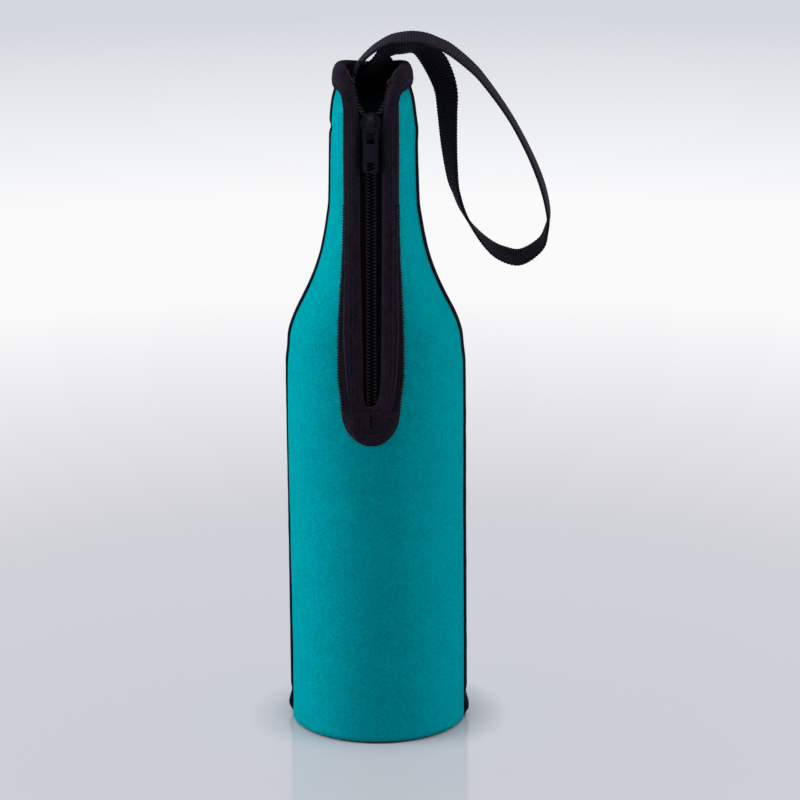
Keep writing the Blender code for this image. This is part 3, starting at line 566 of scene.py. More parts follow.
def patch(work, columns, rows, place, flat):
    """A grid shaped by place(u, v), with flat(u, v) in metres as its UV map."""
    layer = work.loops.layers.uv.verify()
    made = bmesh.ops.create_grid(work, x_segments=columns, y_segments=rows, size=1)
    new = set(made["verts"])
    at = {}
    for vertex in made["verts"]:
        u, v = (vertex.co.x + 1) / 2, (vertex.co.y + 1) / 2
        at[vertex] = flat(u, v)
        vertex.co = place(u, v)
    for face in work.faces:
        if face.verts[0] in new:
            for loop in face.loops:
                loop[layer].uv = at[loop.vert]


def sweep(work, rings, caps=True):
    """A closed sleeve drawn ring by ring from a circle, with UV in metres: round the ring and along it."""
    layer = work.loops.layers.uv.verify()
    count = len(rings[0])
    start = bmesh.ops.create_circle(work, segments=count, radius=1, cap_ends=False)["verts"]
    for vertex, point in zip(start, rings[0]):
        vertex.co = point
    index = {vertex: k for k, vertex in enumerate(start)}
    row = {vertex: 0 for vertex in start}
    edges = list(dict.fromkeys(edge for vertex in start for edge in vertex.link_edges))
    across = [0.0]
    for a, b in zip(rings[0], rings[0][1:] + rings[0][:1]):
        across.append(across[-1] + (Vector(b) - Vector(a)).length)
    run = [0.0]
    sides = []
    kinds = (bmesh.types.BMEdge, bmesh.types.BMFace, bmesh.types.BMVert)
    for i, ring in enumerate(rings[1:], 1):
        grown = bmesh.ops.extrude_edge_only(work, edges=edges)["geom"]
        edges, faces, fresh = ([g for g in grown if isinstance(g, kind)] for kind in kinds)
        sides += faces
        for vertex in fresh:
            # The vertex of the last ring that this one was drawn from
            others = (edge.other_vert(vertex) for edge in vertex.link_edges)
            index[vertex] = index[next(other for other in others if row.get(other) == i - 1)]
            vertex.co = ring[index[vertex]]
        row.update((vertex, i) for vertex in fresh)
        run.append(run[-1] + sum((Vector(b) - Vector(a)).length for a, b in zip(rings[i - 1], ring)) / count)
    for face in sides:
        wraps = {0, count - 1} <= {index[v] for v in face.verts} and count > 2
        for loop in face.loops:
            k = index[loop.vert]
            k = count if wraps and k == 0 else k
            loop[layer].uv = (across[k], run[row[loop.vert]])
    if caps:
        bmesh.ops.holes_fill(work, edges=[e for e in work.edges if e.is_boundary], sides=count)
    bmesh.ops.recalc_face_normals(work, faces=work.faces)


def swept(name, rings, slot, stands_for=(), **options):
    """A piece that is one closed sleeve."""
    work = bmesh.new()
    sweep(work, rings)
    return to_object(name, work, slot, stands_for, **options)


def round_ring(centre, side, up, radius, count, rise=None):
    """A ring of points, round or with another radius upwards."""
    rise = rise or radius
    turns = [2 * math.pi * k / count for k in range(count)]
    return [centre + side * (radius * math.cos(a)) + up * (rise * math.sin(a)) for a in turns]


def thread_rings(points, radius, count):
    """Rings of a thin round thread through points."""
    rings = []
    side = None
    for i, point in enumerate(points):
        run = (points[min(i + 1, len(points) - 1)] - points[max(i - 1, 0)]).normalized()
        if side is None:
            side = run.orthogonal().normalized()
        side = (side - run * side.dot(run)).normalized()
        rings.append(round_ring(point, side, run.cross(side), radius, count))
    return rings


def topstitching(name, path):
    """A row of short stitches along a path, each sunk into the cloth at both ends."""
    work = bmesh.new()
    length, gap, sunk, radius = sizes().stitch_length, 0.5 * MM, 0.18 * MM, 0.17 * MM
    walked, count = [0.0], len(path)
    for a, b in zip(path, path[1:]):
        walked.append(walked[-1] + (b - a).length)

    def at(distance):
        i = max(k for k in range(count - 1) if walked[k] <= distance)
        return path[i].lerp(path[i + 1], (distance - walked[i]) / (walked[i + 1] - walked[i]))

    start = gap
    while start + length < walked[-1]:
        points = []
        for share in (0, 0.2, 0.5, 0.8, 1):
            point = at(start + length * share)
            inwards = (Vector((0, 0, point.z)) - point).normalized()
            points.append(point + inwards * (sunk if share in (0, 1) else 0))
        sweep(work, thread_rings(points, radius, 5))
        start += length + gap
    to_object(name, work, "black_thread")


def line_frame(height=SLIDER_HEIGHT):
    """The zip's own axes at a height: X across, -Y out of the bag and Z up the zip."""
    return Matrix.Translation(Vector((0, -front_reach(height), height))) @ Matrix.Rotation(-LINE_LEAN, 4, "X")


class CoolerBagSizes(bpy.types.PropertyGroup):
    """Sizes of the finished surfaces that the frame leaves open."""

    softness: FloatProperty(
        name="Softness", description="Depth of the soft swells in the neoprene", default=0.0005, unit="LENGTH"
    )
    pucker: FloatProperty(
        name="Pucker", description="Depth of the puckers beside the zip", default=0.00035, unit="LENGTH"
    )
    binding_proud: FloatProperty(
        name="Binding height", description="How far it stands off the foam", default=0.00245, unit="LENGTH"
    )
    coil_pitch: FloatProperty(
        name="Coil pitch", description="From one turn of the coil to the next", default=0.00165, unit="LENGTH"
    )
    coil_wire: FloatProperty(
        name="Coil wire", description="Thickness of the coil's filament", default=0.00078, unit="LENGTH"
    )
    rib_pitch: FloatProperty(
        name="Webbing rib", description="From one cross rib to the next", default=0.0015, unit="LENGTH"
    )
    stitch_length: FloatProperty(
        name="Stitch", description="Length of a stitch of the topstitching", default=0.0022, unit="LENGTH"
    )


class CoolerBagColours(bpy.types.PropertyGroup):
    """Colours of the finished materials."""

    body: FloatVectorProperty(
        name="Neoprene", description="The jersey's face", default=linear("#008A95"), size=3, subtype="COLOR"
    )
    binding: FloatVectorProperty(
        name="Binding", description="The knitted binding", default=linear("#19141E"), size=3, subtype="COLOR"
    )
    webbing: FloatVectorProperty(
        name="Webbing", description="The strap", default=linear("#1A1720"), size=3, subtype="COLOR"
    )
    metal: FloatVectorProperty(
        name="Enamel", description="The slider's metal", default=linear("#0D0E17"), size=3, subtype="COLOR"
    )
    thread: FloatVectorProperty(
        name="Thread", description="The stitches", default=linear("#1B1820"), size=3, subtype="COLOR"
    )


class CoolerBagCamera(bpy.types.PropertyGroup):
    """The camera that takes the main view."""

    distance: FloatProperty(name="Distance", description="From the bag's axis", default=2.2, unit="LENGTH")
    height: FloatProperty(name="Height", description="Above the floor", default=0.8317, unit="LENGTH")
    aside: FloatProperty(name="Aside", description="To the strap's side", default=0.0351, unit="LENGTH")
    pitch: FloatProperty(name="Pitch", description="Downwards", default=0.296, subtype="ANGLE")
    yaw: FloatProperty(name="Yaw", description="Towards the bag's left", default=0.0107, subtype="ANGLE")
    roll: FloatProperty(name="Roll", description="About the view", default=0.0087, subtype="ANGLE")
    turn: FloatProperty(
        name="Turn", description="About the bag's axis", default=math.radians(2), subtype="ANGLE"
    )
    lens: FloatProperty(name="Lens", description="Focal length in millimetres", default=215.0)


def sizes():
    return bpy.context.scene.cooler_bag_sizes


def colours():
    return bpy.context.scene.cooler_bag_colours


def softness(along, height):
    """Soft swells of the sleeve over the bottle, in metres out from the cut form."""
    s = sizes()
    far = uneven(along * 22, height * 14, 1.7)
    near = uneven(along * 60, height * 45, 5.1)
    out = s.softness * (far + 0.35 * near)
    # Puckers that the zip's seam draws into the panel beside it
    beside = abs(along) - COVER_HALF - 2 * MM
    if beside > -3 * MM and height > COVER_LOW:
        fade = ease((height - COVER_LOW) / (8 * MM)) * ease((PUCKER_TOP - height) / 0.03)
        phase = height * 2 * math.pi / 0.0105 + 1.3 * math.sin(height * 190)
        out += s.pucker * bell(beside, 5 * MM) * fade * (math.sin(phase) - 0.2)
    edge = min(1, (height - SEAT) / (6 * MM))
    return out * max(edge, 0) * ease((FRONT_EDGE - height) / (12 * MM)) + crease(along, height)


def crease(along, height):
    """A sharp crease low on the left of the collar, and a slacker edge just below it on the right."""
    deep, middle, width = (-0.9, 0.2966, 1.9) if along < 0 else (0.5, 0.2950, 5)
    fade = bell(abs(along) - quarter(height), 7 * MM)
    return deep * MM * fade * bell(height - middle, width * MM)


def clothed(flat, shift=0.0):
    """Lays flat(u, v) on the soft sleeve."""

    def place(u, v):
        at = flat(u, v)
        return skin(at.x, at.y, softness(at.x + shift, at.y))

    return place


def spread(share):
    """Draws even shares nearer to both ends."""
    return mix(share, (1 - math.cos(math.pi * share)) / 2, 0.6)


def wing(side):
    """The front beside the opening, flat: a grid drawn between its four edges."""
    # Shares of its inner edge and of its top that lie before the mouth's corner ends
    turn, bend = 0.75, 0.35

    def left(t):
        if t < turn:
            return Vector((SLOT, mix(SLOT_LOW, COLLAR_HEIGHT, t / turn)))
        return corner_edge((t - turn) / (1 - turn) * turn)

    def right(t):
        height = mix(SLOT_LOW, FRONT_EDGE, t)
        return Vector((quarter(height) - SEAM, height))

    def bottom(t):
        return Vector((mix(SLOT, quarter(SLOT_LOW) - SEAM, t), SLOT_LOW))

    def top(t):
        if t < bend:
            return corner_edge(mix(turn, 1, t / bend))
        share = (t - bend) / (1 - bend)
        return Vector((mix(CORNER_ALONG, quarter(FRONT_EDGE) - SEAM, share), FRONT_EDGE))

    def flat(u, v):
        u = spread(u)
        at = (
            bottom(u) * (1 - v) + top(u) * v + left(v) * (1 - u) + right(v) * u
            - bottom(0) * ((1 - u) * (1 - v)) - bottom(1) * (u * (1 - v))
            - top(0) * ((1 - u) * v) - top(1) * (u * v)
        )
        return Vector((side * at.x, at.y))

    return flat


def below(u, v):
    """The front below the opening, flat, with its columns in line with the opening and the wings."""
    height = mix(SEAT, SLOT_LOW, v)
    full = quarter(height) - SEAM
    cells = 2 * WING_COLUMNS + SLOT_CELLS
    place = u * cells - cells / 2
    half = SLOT * full / (quarter(SLOT_LOW) - SEAM)
    if abs(place) <= SLOT_CELLS / 2:
        return Vector((place / (SLOT_CELLS / 2) * half, height))
    share = spread((abs(place) - SLOT_CELLS / 2) / WING_COLUMNS)
    return Vector((math.copysign(mix(half, full, share), place), height))


def behind(u, v):
    """The back, flat, up to its own curved edge at the mouth."""
    height = mix(SEAT, BACK_EDGE, v)
    for _ in range(2):
        full, near = half_girth(height), quarter(height) + SEAM
        along = mix(near, 2 * full - near, u)
        signed = along if along <= full else along - 2 * full
        height = mix(SEAT, edge_height(signed, height), v)
    return Vector((along, height))


class COOLERBAG_OT_panels(bpy.types.Operator):
    """Front and back panels of neoprene, cut open for the zip"""

    bl_idname = "cooler_bag.panels"
    bl_label = "Panels"

    def execute(self, context):
        wing_rows, low_rows, back_columns, back_rows = 110, 72, 64, 150
        work = bmesh.new()
        for side, _ in SIDES:
            patch(work, WING_COLUMNS, wing_rows, clothed(wing(side)), wing(side))
        patch(work, 2 * WING_COLUMNS + SLOT_CELLS, low_rows, clothed(below), below)
        bmesh.ops.remove_doubles(work, verts=work.verts, dist=0.03 * MM)
        shell("body_front", work, "teal_neoprene", "front_panel", WALL, True)
        work = bmesh.new()
        # Its swells are read from further round, so that they differ from the front's
        patch(work, back_columns, back_rows, clothed(behind, 0.4), behind)
        shell("body_back", work, "teal_neoprene", "back_panel", WALL, True)
        return {"FINISHED"}


def lean(side, height):
    """How far the binding's fold hangs over the zip beyond its usual; the left one ends more squarely."""
    above = max(height - MEET, 0) / MM
    wide, sharp, fall = (1.7, 3.7, 1.8) if side < 0 else (0.9, 4.5, 4.2)
    return (wide * bell(above, 70) + sharp * math.exp(-above / fall)) * MM


def drawn_in(height):
    """How much nearer the zip the band's outer edge runs, low down and at the neck."""
    return 4.0 * MM * math.exp(-max(height - MEET, 0) / (16 * MM)) + NECK_IN * ease((height - 0.2) / 0.04)


# Section of the folded knit: share down the outer leg, share of the fold's overhang, and height off the foam
# in shares of the binding's, first beside the zip and then round the rim, where it is rolled
OUTLINE = (
    ((1.0, 0, 0.37), (1.0, 0, 0.35)), ((1.02, 0, 0.53), (1.02, 0, 0.5)), ((0.97, 0, 0.72), (0.97, 0, 0.68)),
    ((0.86, 0, 0.93), (0.86, 0, 0.88)), ((0.7, 0, 1.0), (0.7, 0, 1.02)), ((0.52, 0, 1.02), (0.52, 0, 1.06)),
    ((0.34, 0, 1.0), (0.34, 0, 0.99)), ((0.17, 0.05, 0.97), (0.18, 0, 0.84)),
    ((0, 0.25, 0.9), (0.05, 0.18, 0.58)), ((0, 0.6, 0.68), (0, 0.55, 0.27)),
    ((0, 0.88, 0.3), (0, 0.88, -0.08)), ((0, 1.0, -0.2), (0, 1.0, -0.45)),
    ((0, 0.98, -0.7), (0, 0.93, -0.85)),
)
# The same leg's way back inside, in metres off the neoprene's face
INNER = (
    (0, 0.78, -0.00285), (0, 0.4, -0.0036), (0.08, 0, -0.0039), (0.5, 0, -0.0039), (0.95, 0, -0.0038),
    (0.98, 0, -0.0035), (0.95, 0, -0.0032), (0.5, 0, -0.0032), (0.1, 0, -0.0032), (0, 0.15, -0.0025),
    (0, 0.2, -0.0008), (0, 0.15, 0.0006), (0.12, 0, 0.0009), (0.5, 0, 0.0010),
)
# By place in the outline: share of the lean over the zip, its height where it leans far, and how far that is
LEANING = {
    6: (0.05, None, 1), 7: (0.18, None, 1), 8: (0.45, 0.0013, 0.003), 9: (0.78, 0.0011, 0.003),
    10: (0.97, 0.0008, 0.003), 11: (1.0, 0.0002, 0.0006), 12: (0.0, 0.00015, 0.0006),
}


def binding_ring(side, edge, leg, off, rim, run):
    """One section of the folded knit: over the neoprene's edge, with both legs sewn down."""
    proud = sizes().binding_proud
    over, sink = 0.0, 1.0
    if edge.y < COLLAR_HEIGHT:
        over = lean(side, edge.y)
        # Both legs dive under the end patch
        sink = mix(0.25, 1.0, ease((edge.y - COVER_TOP + 2.5 * MM) / (5 * MM)))
    points = []
    for k, (beside, round_rim) in enumerate(OUTLINE):
        down, nose, share = (mix(a, b, rim) for a, b in zip(beside, round_rim))
        out = proud * share
        place = edge + (leg - edge) * down + off * (NOSE * nose)
        if over and k in LEANING:
            forward, low, far = LEANING[k]
            place += off * (over * forward)
            if low is not None:
                out = mix(out, low, min(over / far, 1))
        if k >= 2:
            # The knit is pulled in unevenly by its stitches
            out += 0.00016 * uneven(run * 110, k * 0.35, side * 3.1)
            out += 0.00007 * uneven(run * 420, k * 0.8, side * 7.7)
        if k in (3, 4):
            # A ridge where the knit is folded under, higher on the left
            out += 0.0005 if side < 0 else 0.0002
        if out > 0:
            out *= sink
        points.append(skin(side * place.x, place.y, out))
    for down, nose, out in INNER:
        place = edge + (leg - edge) * down + off * (NOSE * nose)
        points.append(skin(side * place.x, place.y, out))
    return points


class COOLERBAG_OT_binding(bpy.types.Operator):
    """Knitted binding folded over the edge, up one side of the zip, round the mouth and down the other"""

    bl_idname = "cooler_bag.binding"
    bl_label = "Binding"

    def execute(self, context):
        stations = []
        leg_rows, corner_rows, rim_rows = 190, 26, 90
        low = SLOT_LOW + 0.3 * MM
        for side, _ in SIDES:
            part = []
            for i in range(leg_rows):
                height = mix(low, COLLAR_HEIGHT, i / leg_rows)
                leg = Vector((SLOT + BAND - drawn_in(height), height))
                part.append((side, Vector((SLOT, height)), leg, corner_off(0), 0))
            for i in range(corner_rows + 1):
                t = i / corner_rows
                part.append((side, corner_edge(t), corner_leg(t), corner_off(t), ease(t)))
            stations += part[::-side]
            if side > 0:
                break
            for i in range(1, rim_rows):
                height = FRONT_EDGE
                for _ in range(3):
                    full = half_girth(height)
                    along = mix(-CORNER_ALONG, -2 * full + CORNER_ALONG, i / rim_rows)
                    signed = along if along >= -full else along + 2 * full
                    height = edge_height(signed, height)
                edge = Vector((signed, height))
                stations.append((1, edge, edge - Vector((0, RIM_BAND)), corner_off(1), 1))
        rings, run = [], 0
        for side, edge, leg, off, rim in stations:
            rings.append(binding_ring(side, edge, leg, off, rim, run))
            if len(rings) > 1:
                run += (rings[-1][5] - rings[-2][5]).length
        nodes = ("rim_binding", "zip_binding_left", "zip_binding_right")
        swept("binding", rings, "black_knit", nodes)
        topstitching("binding_topstitch", [ring[3].lerp(ring[2], 0.45) for ring in rings])
        return {"FINISHED"}


class COOLERBAG_OT_facings(bpy.types.Operator):
    """Flat knitted strips beside the zip, held by a zigzag stitch, and the patch that closes its lower end"""

    bl_idname = "cooler_bag.facings"
    bl_label = "Facings and end patch"

    def execute(self, context):
        for side, name in SIDES:
            self.strip(side, name)
            self.zigzag(side, name)
        self.end_patch()
        return {"FINISHED"}

    def strip(self, side, name):
        rings, rows = [], 160
        top = FRONT_EDGE - RIM_BAND - 0.3 * MM
        for i in range(rows + 1):
            height = mix(COVER_TOP - 2 * MM, top, i / rows)
            inner = SLOT + 0.5 * MM
            if height > COLLAR_HEIGHT:
                inner += 3 * MM * (height - COLLAR_HEIGHT) / (top - COLLAR_HEIGHT)
            outer = self.outer(side, height) + 0.0001 * math.sin(height * 2 * math.pi / 0.0014)
            outer += 0.00015 * uneven(height * 300, side, 0)
            across = [side * mix(inner, outer, k / 5) for k in range(6)]
            ring = [skin(x, height, 0.0001) for x in across] + [skin(across[5], height, 0.00045)]
            rings.append(ring + [skin(x, height, 0.0008) for x in across[4::-1]])
        swept(f"facing_{name}", rings, "black_knit", (f"zip_facing_{name}",))

    def outer(self, side, height):
        """The strip's outer edge: as wide as the patch low down, then wider, and narrow at the neck."""
        wide = COVER_HALF - max(side, 0) * 0.5 * MM
        low = mix(self.patch_half(side), wide, ease((height - COVER_TOP) / (18 * MM)))
        narrow = ease((height - FACING_WIDEN_LOW) / (FACING_WIDEN_HIGH - FACING_WIDEN_LOW))
        return mix(low, FACING_HALF, narrow)

    def patch_half(self, side):
        """The patch is a little narrower on the right."""
        return PATCH_HALF - (0.7 * MM if side > 0 else 0)

    def zigzag(self, side, name):
        """Overlock thread that crosses the strip's edge."""
        points = []
        pitch, height = 1.4 * MM, COVER_TOP
        # Share of the pitch, place inwards from the edge and rise, in millimetres
        path = ((0, 1.7, 0.95), (0.3, 0.1, 0.8), (0.5, -0.65, 0.25), (0.7, 0.1, 0.8))
        while height < OVERLOCK_TOP:
            outer = self.outer(side, height)
            for share, inward, level in path:
                place = outer - inward * MM + 0.3 * MM * uneven(height * 900, share, side)
                points.append(skin(side * place, height + share * pitch, level * MM))
            height += pitch
        swept(f"overlock_{name}", thread_rings(points, 0.25 * MM, 4), "black_thread")

    def end_patch(self):
        """A rounded patch, hollow in its middle, with a slit where the two bindings meet under it."""
        columns, rows, radius, turn = 120, 48, 11.2 * MM, math.radians(80)
        top = COVER_TOP + 0.3 * MM
        depth = (top - COVER_LOW) / math.sin(turn)

        def flat(u, v):
            angle = v * turn
            height = top - depth * math.sin(angle)
            shrink = math.cos(angle) ** 1.05
            along = mix(-self.patch_half(-1) * shrink, self.patch_half(1) * shrink, u)
            # Its cut edge is frayed
            fray = 0.25 * MM * uneven(along * 500, height * 700, 4.0)
            edge = abs(2 * u - 1) ** 6
            return Vector((along + math.copysign(fray * edge, along), height + fray * ease((v - 0.9) / 0.1)))

        def place(u, v):
            x, z = flat(u, v)
            edge = ease(min(1, (1 - abs(2 * u - 1)) * 3.2)) * ease(min(1, (1 - v) * 2.5))
            hollow = math.exp(-((x / (5.2 * MM)) ** 4)) * ease((z - 0.1525) / (6 * MM))
            slit = bell(x - 0.25 * MM * math.sin(z * 2400), 0.42 * MM) * ease((z - 0.1594) / (2 * MM))
            slit *= ease((0.1672 - z) / MM)
            seam = bell(z - 0.1645 - 0.06 * abs(x), 0.5 * MM) * ease(abs(x) / (4 * MM))
            groove = bell(math.hypot(x, (z - COVER_TOP) * 1.02) - radius, 0.5 * MM)
            out = (0.5 + 1.75 * edge - 1.05 * hollow - 1.2 * slit - 0.3 * seam - 0.3 * groove) * MM
            # Its upper edge dips into the bindings that run under it
            out = max(mix(min(out, 1.1 * MM), out, ease(v / 0.12)), 0.25 * MM)
            return skin(x, z, out + 0.00014 * uneven(x * 260, z * 260, 2.0))

        work = bmesh.new()
        patch(work, columns, rows, place, flat)
        shell("zip_end_patch", work, "black_knit", "zip_end_cover", 0.45 * MM, False)
        path = []
        for angle in (math.radians(a) for a in range(195, 346, 3)):
            x, z = radius * math.cos(angle), COVER_TOP + 11.0 * MM * math.sin(angle)
            path.append(skin(x, z, 2.0 * MM - 0.9 * MM * abs(x / COVER_HALF) ** 3))
        topstitching("patch_topstitch", path)


# Section of a side strip's raised face: shares of its half width and of its height
CROWN = ((1.02, 0.45), (0.85, 0.8), (0.45, 0.97), (0, 1), (-0.45, 0.97), (-0.85, 0.8), (-1.02, 0.45))


class COOLERBAG_OT_side_strips(bpy.types.Operator):
    """Knitted strips that cover the side seams, with a folded end at the base"""

    bl_idname = "cooler_bag.side_strips"
    bl_label = "Side strips"

    def execute(self, context):
        rows, low, top = 240, 0.8 * MM, FRONT_EDGE - RIM_BAND + 1.5 * MM
        for side, name in SIDES:
            rings = []
            for i in range(rows + 1):
                height = mix(low, top, (i / rows) ** 1.12)
                flare = (1.0 if side < 0 else 0.8) * bell(height - 5.6 * MM, 3.6 * MM)
                out = (1.3 + flare - 0.55 * bell(height - 12.5 * MM, 2.2 * MM)) * MM
                out += 0.0001 * uneven(height * 120, side * 5, 0)
                middle = quarter(height) + 0.25 * MM * uneven(height * 35, side * 9, 3)
                # Low down both are twisted a little to the left: the right one shows more, the left less
                middle -= 1.5 * MM * side * ease((0.2 - height) / 0.1)
                fold = crease(side * middle, height)
                base = 0.05 * MM + fold
                # The folded end is sewn flat into the base's seam
                out = (out + fold) * mix(0.12, 1, ease((height - low) / (3.4 * MM)))
                # The right strip is pressed wider low down
                half = 2.2 * MM + (1.3 * MM * ease((0.06 - height) / 0.04) if side > 0 else 0)
                outline = [(-half, base), (0, base), (half, base)]
                outline += [(half * across, out * up) for across, up in CROWN]
                rings.append([skin(side * (middle + a), height, n) for a, n in outline])
            nodes = (f"side_seam_{name}",)
            swept(f"side_strip_{name}", rings, "black_knit", nodes, stuff="fine_knit")
        return {"FINISHED"}


class COOLERBAG_OT_base(bpy.types.Operator):
    """The round neoprene base and the thread that joins it to the panels"""

    bl_idname = "cooler_bag.base"
    bl_label = "Base"

    def execute(self, context):
        inner = side_radius(SEAT) - WALL
        work = bmesh.new()
        bmesh.ops.create_circle(work, segments=96, radius=inner - 0.6 * MM, cap_ends=True)
        raise_faces(work, 4.2 * MM)
        soften(work, 0.8 * MM, 4)
        bmesh.ops.recalc_face_normals(work, faces=work.faces)
        layer = work.loops.layers.uv.verify()
        for face in work.faces:
            for loop in face.loops:
                loop[layer].uv = loop.vert.co.xy
        made = to_object("base", work, "teal_neoprene", ("base_disc",), sharp=50)
        # A rolled seam allowance between the panels and the disc, stitched right round
        rings, steps, stitches = [], 144, 66
        for i in range(steps + 1):
            angle = 2 * math.pi * i / steps
            side = Vector((math.cos(angle), math.sin(angle), 0))
            rise = (0.62 + 0.06 * math.sin(angle * stitches)) * MM
            centre = side * (inner + 1.2 * MM) + UP * (0.75 * MM)
            rings.append(round_ring(centre, side, UP, 1.25 * MM, 10, rise))
        work = bmesh.new()
        sweep(work, rings, caps=False)
        bmesh.ops.remove_doubles(work, verts=work.verts, dist=0.01 * MM)
        bmesh.ops.recalc_face_normals(work, faces=work.faces)
        to_object("base_stitching", work, "black_thread", ("base_seam",))
        return {"FINISHED"}


class COOLERBAG_OT_zip(bpy.types.Operator):
    """Woven tapes, both coils of the zip and its stops"""

    bl_idname = "cooler_bag.zip"
    bl_label = "Zip"

    def execute(self, context):
        for side, name in SIDES:
            self.tape(side, name)
            self.coil(side, name)
            self.cord(side, name)
            self.top_stop(side, name)
        # A moulded bar across both coils
        work = block((0, 0, 0), (6.4 * MM, 1.2 * MM, 2.6 * MM))
        soften(work, 0.35 * MM, 4)
        place = line_frame(STOP_HEIGHT) @ Matrix.Translation((0, 1.5 * MM, 0))
        bmesh.ops.transform(work, matrix=place, verts=work.verts)
        to_object("bottom_stop_piece", work, "black_nylon", ("bottom_stop",), sharp=50)
        return {"FINISHED"}

    def heights(self, low, high, step):
        count = max(2, round((high - low) / step))
        return [mix(low, high, i / count) for i in range(count + 1)]

    def spot(self, side, across, height, out):
        """A point on one side of the zip: flat where it is closed, on the curved mouth where it is open."""
        along = coil_middle(height) + across
        flat = skin(0, height, 0) + Vector((side * along, -out, 0))
        return flat.lerp(skin(side * along, height, out), parted(height))

    def tape(self, side, name):
        rings = []
        for height in self.heights(TAPE_LOW, TAPE_TOP, 1.6 * MM):
            inner = coil_middle(height) - COIL_HALF + mix(-0.03, 0.2, parted(height)) * MM
            top, bottom = [], []
            for share in (0, 0.12, 0.25, 0.4, 0.55, 0.7, 0.85, 1):
                curved = skin(side * (inner + TAPE_WIDTH * share), height, -TAPE_DEPTH)
                flat = Vector((curved.x, skin(0, height, -TAPE_DEPTH).y, curved.z))
                top.append(flat.lerp(curved, max(ease((share - 0.36) / 0.24), parted(height))))
                bottom.append(top[-1] + Vector((0, 0.5 * MM, 0)))
            rings.append(top + bottom[::-1])
        swept(f"tape_{name}", rings, "black_tape", (f"zip_tape_{name}",))

    def coil(self, side, name):
        """A flattened spring of filament; each turn's head reaches between the other side's."""
        pitch, radius, per_turn = sizes().coil_pitch, sizes().coil_wire / 2, 14
        count = int((COIL_TOP - COIL_LOW) / pitch * per_turn)
        points = []
        for i in range(count + 1):
            angle = 2 * math.pi * i / per_turn + (0 if side > 0 else math.pi)
            across = -math.cos(angle)
            x = across * (COIL_HALF - radius + 0.42 * MM * max(0, -across)) + (0.12 * MM if across < 0 else 0)
            out = 0.72 * MM * math.sin(angle) - COIL_DEPTH
            points.append(self.spot(side, x, COIL_LOW + pitch * i / per_turn, out))
        rings = []
        for i, point in enumerate(points):
            run = (points[min(i + 1, count)] - points[max(i - 1, 0)]).normalized()
            lift = (UP - run * UP.dot(run)).normalized()
            rings.append(round_ring(point, lift, run.cross(lift), radius, 6))
        swept(f"coil_{name}", rings, "black_nylon", (f"zip_coil_{name}",))

    def cord(self, side, name):
        """The line of stitches that holds the coil on its tape."""
        points = []
        for k, height in enumerate(self.heights(COIL_LOW + 0.4 * MM, COIL_TOP - MM, sizes().coil_pitch / 2)):
            points.append(self.spot(side, 0.5 * MM, height, -1.72 * MM if k % 2 else -2.05 * MM))
        swept(f"coil_stitching_{name}", thread_rings(points, 0.2 * MM, 4), "black_thread")

    def top_stop(self, side, name):
        """A strip of metal bent round the end of the coil."""
        low, high = COIL_TOP + 0.3 * MM, COIL_TOP + 1.9 * MM
        rings = []
        for height in self.heights(low, high, 0.2 * MM):
            grow = 1 - 0.22 * bell(min(height - low, high - height), 0.25 * MM)
            ring = []
            for k in range(16):
                turn = (math.cos(2 * math.pi * k / 16), math.sin(2 * math.pi * k / 16))
                wide, deep = (math.copysign(abs(t) ** 0.6, t) * grow for t in turn)
                across = wide * (COIL_HALF + 0.1 * MM) - 1.3 * MM
                ring.append(self.spot(side, across, height, deep * 1.3 * MM - COIL_DEPTH))
            rings.append(ring)
        swept(f"top_stop_piece_{name}", rings, "black_metal", (f"top_stop_{name}",))


def raise_faces(work, height):
    """Draws a flat outline up into a plate."""
    grown = bmesh.ops.extrude_face_region(work, geom=work.faces[:])["geom"]
    lifted = [g for g in grown if isinstance(g, bmesh.types.BMVert)]
    bmesh.ops.translate(work, vec=(0, 0, height), verts=lifted)


def block(centre, size):
    """A cube drawn out to a size, as a bmesh."""
    work = bmesh.new()
    bmesh.ops.create_cube(work, size=1)
    bmesh.ops.scale(work, vec=size, verts=work.verts)
    bmesh.ops.translate(work, vec=centre, verts=work.verts)
    return work


def plate(outlines, low, high):
    """A flat plate in XY between two levels of Z, cut from closed outlines, as a bmesh."""
    work = bmesh.new()
    for outline in outlines:
        ring = bmesh.ops.create_circle(work, segments=len(outline), radius=1, cap_ends=False)["verts"]
        for vertex, (x, y) in zip(ring, outline):
            vertex.co = (x, y, low)
    bmesh.ops.triangle_fill(work, use_beauty=True, use_dissolve=False, edges=work.edges[:])
    if len(outlines) > 1:
        holes = [f for f in work.faces if any(inside(f.calc_center_median(), o) for o in outlines[1:])]
        bmesh.ops.delete(work, geom=holes, context="FACES_ONLY")
    bmesh.ops.recalc_face_normals(work, faces=work.faces)
    if work.faces[:][0].normal.z > 0:
        bmesh.ops.reverse_faces(work, faces=work.faces)
    raise_faces(work, high - low)
    bmesh.ops.recalc_face_normals(work, faces=work.faces)
    return work


def inside(point, outline):
    """Whether a point lies in a closed outline."""
    found = False
    for (x0, y0), (x1, y1) in zip(outline, outline[1:] + outline[:1]):
        if (y0 > point.y) != (y1 > point.y) and point.x < (x1 - x0) * (point.y - y0) / (y1 - y0) + x0:
            found = not found
    return found


def soften(work, width, segments=3):
    """Rounds the sharp edges of a plate."""
    sharp = [e for e in work.edges if len(e.link_faces) == 2 and e.calc_face_angle(0) > math.radians(50)]
    shape = {"segments": segments, "profile": 0.5, "affect": "EDGES", "material": -1, "clamp_overlap": True}
    bmesh.ops.bevel(work, geom=sharp, offset=width, **shape)


